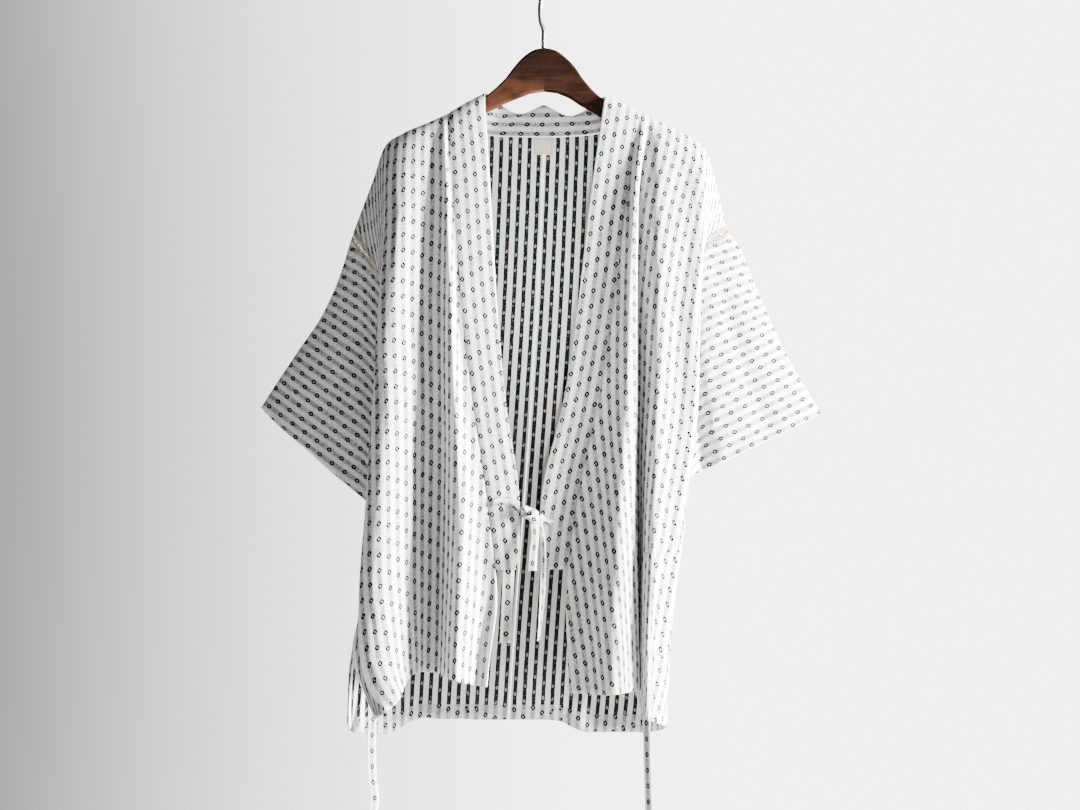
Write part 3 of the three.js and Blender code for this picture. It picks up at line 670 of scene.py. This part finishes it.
def cotton(name, inside):
    """One side of the double-faced cotton, worked out from its cut coordinates."""
    s = Shader(name, 0.95)
    s.surface["Specular IOR Level"].default_value = 0.02
    cut = s.cut()
    u, v = s.split(cut)[:2]
    drift = s.times(s.minus(s.noise(cut, (60, 60, 1)), 0.5), DRIFT)
    across = s.plus(s.over(u, PITCH_ACROSS), drift)
    column = s.math("FLOOR", across)
    x = s.times(s.minus(s.minus(across, column), 0.5), PITCH_ACROSS / MM)
    down = s.plus(s.over(v, PITCH_DOWN), s.times(column, DROP))
    down = s.plus(down, s.times(drift, 0.8))
    y = s.times(s.minus(s.math("FRACT", down), 0.5), PITCH_DOWN / MM)
    mottle = s.noise(cut, (420, 300, 1), 4.0, 0.65)
    cloudy = s.noise(cut, (9, 5, 1))
    threads = s.noise(cut, (1500, 1500, 1), 2.0)
    crumple = s.noise(cut, (26, 11, 1), 5.0, 0.5)
    if inside:
        s.colour(charcoal_side(s, s.absolute(x), s.absolute(y), mottle, cloudy))
    else:
        s.colour(white_side(s, cut, s.absolute(x), s.absolute(y), mottle, cloudy))
    s.rough(s.plus(s.times(mottle, 0.12), 0.84))
    s.bump((crumple, 0.35, 0.0030), (mottle, 0.25, 0.0004), (threads, 0.35, 0.0002))
    return s.material


def wood(name, pale):
    """Dark oiled wood; pale is how strongly the painted highlight on its lower part shows."""
    s = Shader(name, 0.42)
    s.surface["Specular IOR Level"].default_value = 0.015
    place = s.place()
    grain = s.noise(place, (16, 120, 190), 6.0, 0.62)
    blotch = s.noise(place, (22, 22, 34))
    tone = s.mix(s.step(grain, 0.24, 0.78), *WOOD_TONES)
    # painted highlight: lighter colour on the arm's lower part, in patches after the blotch
    # noise
    low = s.times(s.step(s.split(place)[2], *WOOD_HIGHLIGHT_HEIGHTS), pale)
    highlight_mask = s.times(low, s.step(blotch, 0.35, 0.6))
    s.colour(s.mix(highlight_mask, tone, WOOD_PAINTED_HIGHLIGHT))
    s.rough(s.plus(s.times(grain, 0.18), 0.36))
    s.bump((grain, 0.25, 0.0006))
    return s.material


def steel(name):
    """Brushed grey steel."""
    s = Shader(name, 0.34, 0.95)
    wear = s.noise(s.place(), (260, 260, 40), 5.0)
    s.colour(s.mix(wear, *STEEL_TONES))
    s.rough(s.plus(s.times(wear, 0.25), 0.22))
    s.bump((wear, 0.15, 0.0003))
    return s.material


def woven_label(name):
    """Cream woven label with a thin line round it; nothing is written on it."""
    s = Shader(name, 0.8)
    cut = s.cut()
    u, v = s.split(cut)[:2]
    edge = s.math("MAXIMUM", s.minus(s.absolute(u), 0.0022), s.absolute(v))
    line = s.times(s.step(edge, 0.0086, 0.0089), s.step(edge, 0.0096, 0.0093))
    threads = s.noise(cut, (1500, 2600, 1), 2.0)
    s.colour(s.mix(s.times(line, 0.6), s.mix(threads, *LABEL_TONES), LABEL_LINE))
    s.bump((threads, 0.4, 0.0002))
    return s.material


def thread(name, tone):
    """Twisted sewing thread."""
    s = Shader(name, 0.7)
    s.surface["Sheen Weight"].default_value = 0.2
    twist = s.noise(s.place(), (900, 900, 900))
    s.colour(s.mix(twist, tuple(c * 0.75 for c in tone), tone))
    s.bump((twist, 0.5, 0.0002))
    return s.material


def pale_floor(name):
    s = Shader(name, 0.9)
    s.colour(s.mix(s.noise(s.place(), (2, 2, 2)), *FLOOR_TONES))
    return s.material


OUTSIDE = cotton("cotton_outside", False)
INSIDE = cotton("cotton_inside", True)
LABEL = woven_label("label_weave")
# painted highlight: the right arm's copy carries it in full, the left arm's only faintly
WOOD_RIGHT = wood("wood_right", 1.0)
WOOD_LEFT = wood("wood_left", 0.25)
STEEL = steel("hook_steel")
TAN = thread("tan_thread", (0.56, 0.46, 0.36))
WHITE = thread("white_thread", (0.70, 0.70, 0.71))

# ---------------- cloth of the bodies
STILL_LEVEL = 1.4  # above this level the cloth lies on the hanger, without wrinkles
FREE_LEVEL = 2.2  # below this one it wrinkles freely
EDGE_COLUMNS = 4  # columns from a seam or edge over which the wrinkles begin
BACK_GRAIN_DROP = 24  # how far the grain sinks from the collar point to the centre back
FRONT_COLUMN = 60.0  # across the cut, where the grain runs straight down each front, mm


# The grain leans off the folds low on each front: outwards at the right front's side, and
# to both sides of the left front's valley. Each reach is the x in mm of none and of all.
FLARE_FROM = {-1: 555, 1: 360}  # where the lean starts, mm down each front
FLARE_EASE = 90  # run over which the left front's lean builds up, mm
SIDE_REACH, SIDE_CURVE = (-158, -196), -0.0006
INNER_REACH, INNER_LEAN = (130, 96), -0.115
OUTER_REACH, OUTER_LEAN = (126, 140), 0.13


def flare(grid, v, side):
    """How far the grain leans off the folds low on each front, mm."""
    x = grid[:, :, 0]
    run = np.clip(v - FLARE_FROM[side], 0, None)
    if side < 0:
        return SIDE_CURVE * run ** 2 * ramp(x, *SIDE_REACH)
    built = np.minimum(run, FLARE_EASE) ** 2 / (2 * FLARE_EASE)
    lean = built + np.clip(run - FLARE_EASE, 0, None)
    return INNER_LEAN * lean * ramp(x, *INNER_REACH) + OUTER_LEAN * lean * ramp(x, *OUTER_REACH)


def body(front_table, back_table, neck_table, columns, side):
    """Front and back grids of one side, with cut coordinates. side is -1 for the right."""
    band, *fronts = [full_line(row) for row in front_table]
    backs = [back_line(row, front) for row, front in zip(back_table, fronts)][::-1]
    necks = [full_line(row) for row in neck_table]
    front = loft(fronts, columns)
    back = loft(backs + necks, columns[::-1] + COLUMNS["neck"])
    shared = front.shape[1] - 1
    back[0, :shared + 1] = front[0, ::-1]
    joined = between(UNDERARM, VENT)
    back[joined, 0] = front[joined, shared]
    anchor = sum(columns[:3]) * SPLIT_COLUMNS
    front_u = lengths(front, 1)
    front_u = side * (front_u - front_u[:, anchor:anchor + 1]) + side * FRONT_COLUMN
    back_u = lengths(back, 1)
    back_u = -side * (back_u - back_u[:, -1:])
    front_v, back_v = lengths(front, 0), lengths(back, 0)
    back_v[:, shared:] += np.linspace(0, BACK_GRAIN_DROP, back_v.shape[1] - shared)[None, :]
    front_u += flare(front, front_v, side)
    for grid, u, v in ((front, front_u, front_v), (back, back_u, back_v)):
        n = normals_of(grid)
        off = unevenness(u, v, 2.0, 0.7)
        down = ramp(LEVELS, STILL_LEVEL, FREE_LEVEL)[:, None]
        column = np.arange(grid.shape[1])
        across = ramp(np.minimum(column, column[::-1]), 0, EDGE_COLUMNS)[None, :]
        grid += n * (off * (down * across))[:, :, None]
    back[:, -1, 0] += side * 0.7
    return dict(front=front, back=back, front_u=front_u, back_u=back_u, front_v=front_v,
                back_v=back_v, band=band, side=side,
                free=[band[0]] + [np.array(r["free"], float) for r in neck_table])


def body_piece(name, b):
    patches = [dict(grid=b[part], u=b[part + "_u"], v=b[part + "_v"],
                    v_end=b[part + "_v"][-1], flip=b["side"] < 0) for part in ("front", "back")]
    return wall(name, patches, CLOTH, [OUTSIDE, INSIDE], hem=HEM)


RIGHT = body(FRONT_RIGHT, BACK_RIGHT, NECK_RIGHT, COLUMNS["right"], -1)
LEFT = body(FRONT_LEFT, BACK_LEFT, NECK_LEFT, COLUMNS["left"], 1)
SIDES = {"right": RIGHT, "left": LEFT}
for name, b in SIDES.items():
    piece = settle(body_piece("cloth_body_" + name, b), "body_" + name)


# ---------------- collar band
# Places of the band's columns from its seam to its free edge, as shares of its width.
BAND_SHARES = np.array([0, 0.04, 0.1, 0.2, 0.3, 0.4, 0.5, 0.6, 0.7, 0.8, 0.9, 0.96, 1.0])
BAND_MIDDLE = 6  # the column in the middle of them
BAND_BULGE = 0.9  # how far the folded band rises at its middle, mm
BAND_COLUMN = 3.0  # shift of the woven columns across the band, mm


def band_half(b):
    """Seam and free edge points from the band's end up to the centre back."""
    rows = LEVELS <= BAND_END + NEAR
    start = b["front"].shape[1] - 1
    seams = list(b["front"][rows, 0][::-1]) + list(b["back"][0, start + 1:])
    frees = list(through(b["band"], LEVELS[rows])[::-1])
    frees += list(through(b["free"], fine_places(COLUMNS["neck"])[1:]))
    return list(zip(seams, frees))


def collar_piece():
    left = band_half(LEFT)[:-1]
    rows = []
    for seam, free in band_half(RIGHT) + left[::-1]:
        first = seam + unit(free - seam) * SEAM
        rows.append([first + (free - first) * t for t in BAND_SHARES])
    grid = np.array(rows)
    v = lengths(grid, 0)[:, BAND_MIDDLE:BAND_MIDDLE + 1]
    v = np.repeat(v, grid.shape[1], 1)
    u = lengths(grid, 1)
    n = normals_of(grid)
    n *= np.sign(n[4, BAND_MIDDLE, 1]) * -1
    bulge = BAND_BULGE * np.sin(math.pi * BAND_SHARES) ** 0.7
    ripple = unevenness(u * 2.2, v, 1.1, 0.5) * np.sin(math.pi * BAND_SHARES)[None, :]
    grid = grid + n * (bulge[None, :] + ripple)[:, :, None]
    patch = dict(grid=grid, u=u + BAND_COLUMN, v=v)
    return wall("cloth_collar_band", [patch], BAND, [OUTSIDE, OUTSIDE]), area_of(grid)


collar, collar_area = collar_piece()
settle(collar, "collar_band")


# ---------------- sleeves
CUFF_SLOPE = {-1: math.radians(34), 1: math.radians(25)}  # of each cuff off level
CUFF_NEAR = {-1: 196, 1: 170}  # distance off the middle where the grain drops, mm
SLEEVE_ROWS = 46  # from armhole to cuff
SLEEVE_GAP = 1.3  # from the body's edge to the sleeve's at the shoulder, mm
SLEEVE_OPEN = 3  # how far each layer stands off the armhole's edge, mm
SLEEVE_RISE = 7.5  # how far the sleeve's lowest start lies over the underarm, mm
SLEEVE_HOLD = 0.5  # share of its length over which a sleeve leaves its armhole


def cuff_grain(grid, side):
    """Grain of a sleeve: the columns run parallel to the cuff and drop at the body."""
    x, z = grid[:, :, 0] * -side, grid[:, :, 2]
    slope = CUFF_SLOPE[side] - 0.14 * ramp(z, -480, -280)
    u = x * np.sin(slope) + z * np.cos(slope)
    v = x * np.cos(slope) - z * np.sin(slope)
    near = ramp(grid[:, :, 0] * side, CUFF_NEAR[side] + 46, CUFF_NEAR[side])
    return u + 15 * near ** 2.2 + 9 * near, v


def armhole_point(grid, s, row, edge, inner, layer):
    """Start of a sleeve's column, off a body edge; s goes from shoulder to underarm."""
    way = unit(grid[row, edge] - grid[row, inner])
    point = grid[row, edge] + way * SLEEVE_GAP * (1 - s)
    point[1] -= layer * SLEEVE_OPEN * math.sin(math.pi * s) ** 0.3 if 0 < s < 1 else 0
    point[2] += SLEEVE_RISE * s * s
    return point


def sleeve_section(shape, v, s, layer):
    """Point of a sleeve: v from armhole to cuff, s from upper to lower fold."""
    top = through(shape["upper"], [v * (len(shape["upper"]) - 1)])[0]
    low = through(shape["lower"], [v * (len(shape["lower"]) - 1)])[0]
    rise = shape["depth"] * max(0.0, math.sin(math.pi * s)) ** 0.6 * (1 - 0.6 * s)
    if layer < 0:
        for place, width, depth in shape["troughs"]:
            rise -= depth * math.exp(-(((s - place) / width) ** 2) * 3) * min(1, v * 3)
    return top + (low - top) * s - np.array(shape["face"]) * layer * rise


def sleeve_piece(name, b, shape):
    count = np.count_nonzero(between(0, UNDERARM))
    last = b["front"].shape[1] - 1
    ring = []
    for i in range(count):
        s = i / (count - 1)
        ring.append((s, armhole_point(b["front"], s, i, last, last - 1, -1), -1))
    for i in range(count - 2, 0, -1):
        s = i / (count - 1)
        ring.append((s, armhole_point(b["back"], s, i, 0, 1, 1), 1))
    grid = []
    for v in np.linspace(0, 1, SLEEVE_ROWS):
        held = (1 - min(1, v / SLEEVE_HOLD)) ** 2
        grid.append([sleeve_section(shape, v, s, layer)
                     + (point - sleeve_section(shape, 0, s, layer)) * held
                     for s, point, layer in ring])
    grid = np.array(grid)
    closed = np.concatenate([grid, grid[:, :1]], 1)
    u, v = cuff_grain(closed, b["side"])
    off = unevenness(lengths(closed, 0)[:, :-1] * 0.8, lengths(closed, 1)[:, :-1], 1.6, 0.6)
    down = ramp(np.linspace(0, 1, SLEEVE_ROWS), 0, 0.15)[:, None]
    across = np.sin(math.pi * np.array([s for s, _, _ in ring]))[None, :] ** 0.5
    grid = grid + normals_of(grid, ring=True) * (off * down * across)[:, :, None]
    patch = dict(grid=grid, u=u, v=v, ring=True, flip=b["side"] > 0)
    return wall(name, [patch], CLOTH, [OUTSIDE, INSIDE]), area_of(grid, ring=True), grid


sleeve_grids = {}
for name, b in SIDES.items():
    piece, area, sleeve_grids[name] = sleeve_piece("cloth_sleeve_" + name, b, SLEEVES[name])
    settle(piece, "sleeve_" + name)


# ---------------- pocket and label
POCKET_CLOTH = 1.2  # shown thickness of the pocket, mm
POCKET_LIFT = 1.75  # from the middle of the front's cloth to the pocket's, mm
POCKET_SHIFT = (4.0, 6.0)  # how far its woven motif is off the front's, across and down, mm


def pocket_piece():
    """The pocket follows the front under it, from just inside sideCrest to the ridge."""
    rows = np.flatnonzero(between(*POCKET_ROWS))
    first = (sum(COLUMNS["left"][:4]) + 2) * SPLIT_COLUMNS
    end = sum(COLUMNS["left"][:7]) * SPLIT_COLUMNS
    part = (slice(rows[0], rows[-1] + 1), slice(first, end + 1))
    grid = (LEFT["front"] + normals_of(LEFT["front"]) * POCKET_LIFT)[part]
    patch = dict(grid=grid, u=LEFT["front_u"][part] + POCKET_SHIFT[0],
                 v=LEFT["front_v"][part] + POCKET_SHIFT[1])
    return wall("cloth_pocket", [patch], POCKET_CLOTH, [OUTSIDE, INSIDE]), grid


pocket, POCKET_GRID = pocket_piece()
settle(pocket, "pocket_left")

LABEL_SIZE = (26.7, 22.6)  # width and height, mm
LABEL_MIDDLE = (-1.0, -231.8)  # x and z, mm
LABEL_TURN = 0.035  # slant, radians
LABEL_CLOTH = 0.7  # thickness, mm
LABEL_LIFT = 1.65  # from the middle of the back's cloth to the label's, mm
NECK_SEAM = (22, -219.7)  # y and z of the back neck seam at the middle, mm
NECK_SLOPE = (6, 90)  # the back's cloth below it goes 6 mm back in 90 mm


def label_piece():
    """The label lies on the inside of the back, just under the neck seam."""
    turn, (wide, high), (mx, mz) = LABEL_TURN, LABEL_SIZE, LABEL_MIDDLE
    vs, us = np.linspace(0.5, -0.5, 9), np.linspace(-0.5, 0.5, 13)
    grid = np.zeros((len(vs), len(us), 3))
    for i, b in enumerate(vs):
        for j, a in enumerate(us):
            x, z = a * wide, b * high
            height = mz + z * math.cos(turn) - x * math.sin(turn)
            depth = NECK_SEAM[0] + ((NECK_SEAM[1] - height) / NECK_SLOPE[1]) * NECK_SLOPE[0]
            depth -= LABEL_LIFT + 0.25 * math.sin(a * 9 + b * 4)
            grid[i, j] = (mx + x * math.cos(turn) + z * math.sin(turn), depth, height)
    u = np.repeat(us[None, :] * wide, len(vs), 0)
    v = np.repeat(vs[:, None] * high, len(us), 1)
    return wall("woven_label", [dict(grid=grid, u=u, v=v)], LABEL_CLOTH, [LABEL, LABEL])


label = settle(label_piece(), "label")


# ---------------- ties and knot
TIE_SHARES = np.array([-0.5, -0.47, -0.4, -0.2, 0, 0.2, 0.4, 0.47, 0.5])
TIE_STEPS = 12  # rows between two points of a tie's path
TIE_CLOTH = 1.5  # thickness of a folded tie, mm
TAIL_TWIST = 0.7  # how far the long tail turns, radians


def strip_piece(tie, twist):
    """A folded tie along its path, with its length in mm."""
    path = np.array(tie["path"], float)
    count = (len(path) - 1) * TIE_STEPS
    middle = through(path, np.linspace(0, len(path) - 1, count + 1))
    side = unit(np.array(tie["across"], float))
    grid = np.zeros((count + 1, len(TIE_SHARES), 3))
    forward = np.gradient(middle, axis=0)
    start, end = tie["width"]
    for i in range(count + 1):
        t = i / count
        out = np.cross(unit(forward[i]), side)
        turn = twist * math.sin(math.pi * 1.6 * t)
        way = side * math.cos(turn) + out * math.sin(turn)
        width = start + (end - start) * t
        cup = 0.5 * np.cos(math.pi * TIE_SHARES) * (1 + 0.5 * math.sin(t * 9))
        grid[i] = middle[i] + np.outer(TIE_SHARES * width, way) + np.outer(cup, out)
    shift = 4.6 if tie["name"].startswith("tie_front") else 0.0
    column = (TIE_SHARES + 0.5) * PITCH_ACROSS / MM + shift
    u = np.repeat(column[None, :], count + 1, 0)
    v = lengths(grid, 0)[:, 4:5].repeat(len(TIE_SHARES), 1)
    patch = dict(grid=grid, u=u, v=v)
    return wall("cloth_" + tie["name"], [patch], TIE_CLOTH, [OUTSIDE] * 2), float(v[-1, 0])


for tie in TIES:
    piece, length = strip_piece(tie, TAIL_TWIST if tie["name"] == "tie_tail_left" else 0.0)
    settle(piece, tie["name"])

KNOT_MIDDLE = (-18.0, -41.0, -718.0)
KNOT_LEAN = 0.72  # its long axis runs down to the wearer's left, radians
KNOT_CORE = (13.4, 4.4, 7.4)  # half length, depth and height of the bunched middle, mm
KNOT_WRAP = (4.6, 4.35, 8.3)  # half width of the strap round it, and its two radii, mm


def knot_point(along, depth, across):
    x = along * math.cos(KNOT_LEAN) + across * math.sin(KNOT_LEAN)
    z = across * math.cos(KNOT_LEAN) - along * math.sin(KNOT_LEAN)
    return (KNOT_MIDDLE[0] + x, KNOT_MIDDLE[1] + depth, KNOT_MIDDLE[2] + z)


def knot_core(rows, wide):
    """Bunched cloth with pleats along it."""
    long, deep, high = KNOT_CORE
    points = []
    for i in range(rows):
        t = math.pi * (0.03 + 0.94 * i / (rows - 1))
        r = math.sin(t) ** 0.7
        for j in range(wide):
            a = 2 * math.pi * j / wide
            pleat = 1 + 0.10 * math.sin(4 * a + 2.4 * t) + 0.05 * math.sin(9 * a - 3 * t)
            points.append(knot_point(-long * math.cos(t) + 0.8 * math.sin(2 * a),
                                     deep * r * math.sin(a) * pleat,
                                     high * r * math.cos(a) * pleat))
    return points


def knot_wrap(rows, wide):
    """The strap that goes slantwise round the core."""
    half, deep, high = KNOT_WRAP
    points = []
    for i in range(rows):
        a = 2 * math.pi * i / rows
        for j in range(wide):
            b = 2 * math.pi * j / wide
            flat = (half + 0.9 * math.sin(a + 0.6)) * math.copysign(
                abs(math.cos(b)) ** 0.7, math.cos(b))
            thick = 1.0 * math.sin(b) - 0.5 * math.cos(b * 2) - 0.25 * math.sin(4 * b + a)
            points.append(knot_point(-0.8 + flat + 3.4 * math.cos(a),
                                     (deep + thick) * math.sin(a),
                                     (high + thick) * math.cos(a)))
    return points


def knot_piece():
    """A strap wrapped slantwise round the crossing of the two ties."""
    verts, faces, uvs = [], [], []
    for points, rows, wide, close in ((knot_core(29, 40), 29, 40, False),
                                      (knot_wrap(56, 18), 56, 18, True)):
        for count, face in enumerate(tube_faces(rows, wide, len(verts), close)):
            i, j = divmod(count, wide)
            corners = [(j, i), (j + 1, i), (j + 1, i + 1), (j, i + 1)]
            uvs.append([(a * 1.1, b * 1.2) for a, b in corners] if len(face) == 4
                       else [(0.0, 0.0)] * wide)
            faces.append(face)
        verts += points
    return new_object("cloth_knot", verts, faces, [OUTSIDE], uvs=uvs)


settle(knot_piece(), "tie_knot")


# ---------------- hanger
ARM_HALF = 6.5  # half of the wood's thickness, mm
ARM_ROUND = 3.2  # radius of its edges, mm
ARM_STEPS = 8  # steps round such an edge
ROD_RADIUS = 3.1
ROD_WIDE = 20  # corners round the rod
ROD_STEPS = 8  # rows between two points of its path


def arm_piece(name, outline, material):
    """One arm: a smooth outline with rounded edges, between two flat faces."""
    pts = np.array(outline, float)
    pts[np.abs(pts[:, 0]) < 0.6, 0] *= 0.1
    closed = pts[1:-1]
    dense = through(closed, np.linspace(0, len(closed) - 1, (len(closed) - 1) * 5 + 1))
    loop = np.vstack([pts[:1], dense, pts[-1:]])
    tangent = np.roll(loop, -1, 0) - np.roll(loop, 1, 0)
    normal = np.stack([tangent[:, 1], -tangent[:, 0]], 1)
    normal /= np.maximum(np.linalg.norm(normal, axis=1, keepdims=True), TINY)
    if np.sum((loop - loop.mean(0)) * normal) < 0:
        normal = -normal
    normal[0] = normal[-1] = 0
    normal[1, 0] = normal[-2, 0] = 0
    rings = []
    for k in range(ARM_STEPS + 1):
        a = math.pi / 2 * k / ARM_STEPS
        rings.append((-(ARM_HALF - ARM_ROUND) - ARM_ROUND * math.cos(a),
                      ARM_ROUND * (1 - math.sin(a))))
    rings = rings + [(-y, inset) for y, inset in rings[::-1]]
    verts = []
    for y, inset in rings:
        verts += [(x, y, z) for x, z in loop - normal * inset]
    obj = new_object(name, verts, tube_faces(len(rings), len(loop)), [material])
    return face_outwards(obj, flat_ends=True)


settle(arm_piece("wood_arm_right", ARM_RIGHT, WOOD_RIGHT), "hanger_arm_right")
settle(arm_piece("wood_arm_left", ARM_LEFT, WOOD_LEFT), "hanger_arm_left")


def rod_piece(name, path, radius, material):
    """A round rod on a smooth curve in the plane y = 0, closed at its ends."""
    middle = through(path, np.linspace(0, len(path) - 1, (len(path) - 1) * ROD_STEPS + 1))
    verts = rings_along(middle, radius, ROD_WIDE, (0, 1, 0), 0.8)
    faces = tube_faces(len(middle), ROD_WIDE)
    return face_outwards(new_object(name, verts, faces, [material]))


hook_path = [(x, 0, z) for x, z in HOOK]
settle(rod_piece("steel_hook", hook_path, ROD_RADIUS, STEEL), "hanger_hook")

# ---------------- stitching
STITCH = 3.4  # length of a running stitch, mm
STITCH_GAP = 1.6  # from one to the next, mm
STITCH_RADIUS = 0.28
STITCH_LIFT = 0.75  # from the middle of the pocket's cloth to a stitch, mm
THREAD_WIDE = 6  # corners round a thread


def threads(name, runs, radius, material):
    """Short thread stitches as one mesh of thin tubes. Each run is a list of points, mm."""
    verts, faces = [], []
    for run in runs:
        faces += tube_faces(len(run), THREAD_WIDE, len(verts))
        verts += rings_along(np.array(run), radius, THREAD_WIDE, (0.3, 0.9, 0.2), 0.6)
    obj = new_object(name, verts, faces, [material])
    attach(obj, "root")
    return obj


def dashes(line, normal):
    """Running stitches along a line of points, lifted off the cloth."""
    line = line + normal * STITCH_LIFT
    where = lengths(line[None, :, :], 1)[0]
    out = normal[len(line) // 2]
    dip = np.array([0.5, 0.0, 0.0, 0.5])[:, None]
    runs, at = [], 0.6
    while at + STITCH < where[-1]:
        ends = [at + STITCH * k / 3 for k in range(4)]
        points = np.array([[np.interp(e, where, line[:, k]) for k in range(3)] for e in ends])
        runs.append(points - out * dip)
        at += STITCH + STITCH_GAP
    return runs


def pocket_stitches():
    """Stitches down the pocket's inner side and along its bottom."""
    rows, cols = POCKET_GRID.shape[:2]
    n = normals_of(POCKET_GRID)
    side = (np.arange(2, rows - 1), np.full(rows - 3, 1))
    bottom = (np.full(cols - 3, rows - 2), np.arange(1, cols - 2))
    runs = dashes(POCKET_GRID[side], n[side]) + dashes(POCKET_GRID[bottom], n[bottom])
    return threads("stitch_pocket", runs, STITCH_RADIUS, WHITE)


pocket_stitches()

LACE_LEVELS = (0.7, 1.9)  # the stretch of the armhole that is laced
LACE_REACH = 8.0  # how far a thread reaches on each side of the seam, mm
LACE_LEAN = 9.5  # how far it runs down the seam on its way, mm
LACE_PITCH = 4.0  # from thread to thread, mm
LACE_RADIUS = 0.5
LACE_BREAK = (0.44, 0.56)  # stretch without threads, as shares of the laced length


def lacing(name, b, sleeve_grid):
    """Openwork at the top of the armhole: crossed threads that span the seam."""
    rows = np.flatnonzero((LEVELS >= LACE_LEVELS[0]) & (LEVELS <= LACE_LEVELS[1]))
    last = b["front"].shape[1] - 1
    seam = b["front"][rows, last]
    n = normals_of(b["front"])[rows, last - 2]
    n = n * np.where(n[:, 1:2] > 0, -1, 1)
    where = lengths(seam[None], 1)[0]
    body_in = b["front"][rows][:, last - 6:last + 1][:, ::-1]
    sleeve_out = sleeve_grid[:5][:, rows].transpose(1, 0, 2)

    def place(at, off):
        """Point at a distance along the seam; off < 0 is on the body, > 0 on the sleeve."""
        row = min(len(rows) - 1.001, max(0.0, np.interp(at, where, np.arange(len(rows)))))
        low, part = int(row), row - int(row)
        points = []
        for line in (body_in if off < 0 else sleeve_out)[low:low + 2]:
            run = lengths(line[None], 1)[0]
            points.append(np.array([np.interp(abs(off), run, line[:, k]) for k in range(3)]))
        normal = n[low] * (1 - part) + n[low + 1] * part
        return points[0] * (1 - part) + points[1] * part, normal

    runs = []
    total = where[-1]
    for lean in (-1, 1):
        for start in np.arange(1.0, total - 1.0, LACE_PITCH):
            if LACE_BREAK[0] < start / total < LACE_BREAK[1]:
                continue
            run = []
            for t in np.linspace(0, 1, 7):
                at = start + lean * (t - 0.5) * LACE_LEAN
                point, normal = place(min(total, max(0, at)), LACE_REACH * (2 * t - 1))
                run.append(point + normal * (1.15 + 0.55 * math.sin(math.pi * t)))
            runs.append(run)
    return threads(name, runs, LACE_RADIUS, TAN)


for name, b in SIDES.items():
    lacing("lacing_" + name, b, sleeve_grids[name])

# ---------------- stage and lights
FLOOR_CORNERS = [(-3, -3.5, -1.36), (3, -3.5, -1.36), (3, 0.85, -1.36), (-3, 0.85, -1.36)]


FLOOR = pale_floor("pale_floor")
floor = new_object("floor", np.array(FLOOR_CORNERS) / MM, [(0, 1, 2, 3)], [FLOOR])


def area_light(name, place, aim, size, power, spread=180, tone=(1.0, 1.0, 1.0)):
    """A soft light in watts; its spread is in degrees."""
    data = bpy.data.lights.new(name, "AREA")
    data.shape = "RECTANGLE"
    data.size, data.size_y = size
    data.energy = power
    data.color = tone
    data.spread = math.radians(spread)
    lamp = bpy.data.objects.new(name, data)
    lamp.location = place
    way = np.array(aim, float) - np.array(place, float)
    yaw = math.atan2(way[1], way[0]) - math.pi / 2
    pitch = math.atan2(way[2], math.hypot(way[0], way[1]))
    lamp.rotation_euler = (math.pi / 2 + pitch, 0.0, yaw)
    bpy.context.scene.collection.objects.link(lamp)


area_light("key", (2.85, -0.60, -0.35), (0, 0, -0.6), (0.5, 1.2), 215.0, 50, (1.0, 1.0, 0.99))
area_light("top", (1.1, -1.3, 1.3), (0, 0, -0.5), (1.2, 1.0), 9.0)
area_light("gridded", (0.2, -2.3, -0.35), (0.0, 0, -0.40), (0.10, 0.5), 0.48, 9)


def studio(front, behind):
    """Pale room, brighter towards +X; front and behind are its two tones on each side."""
    world = bpy.data.worlds.new("room")
    world.use_nodes = True
    s = Nodes(world.node_tree)
    x, y = s.split(s.put("ShaderNodeTexCoord").outputs["Generated"])[:2]
    front = s.mix(s.step(x, 0.1, 1.0), *front)
    behind = s.mix(s.step(x, -0.36, 0.12), *behind)
    background = s.tree.nodes["Background"].inputs
    s.feed(s.mix(s.step(y, 0.1, 0.8), front, behind), background[0])
    background[1].default_value = 1.0
    bpy.context.scene.world = world


studio([(0.08, 0.08, 0.078), (0.45, 0.46, 0.475)], [(0.42, 0.42, 0.405), (5.6, 5.6, 5.5)])
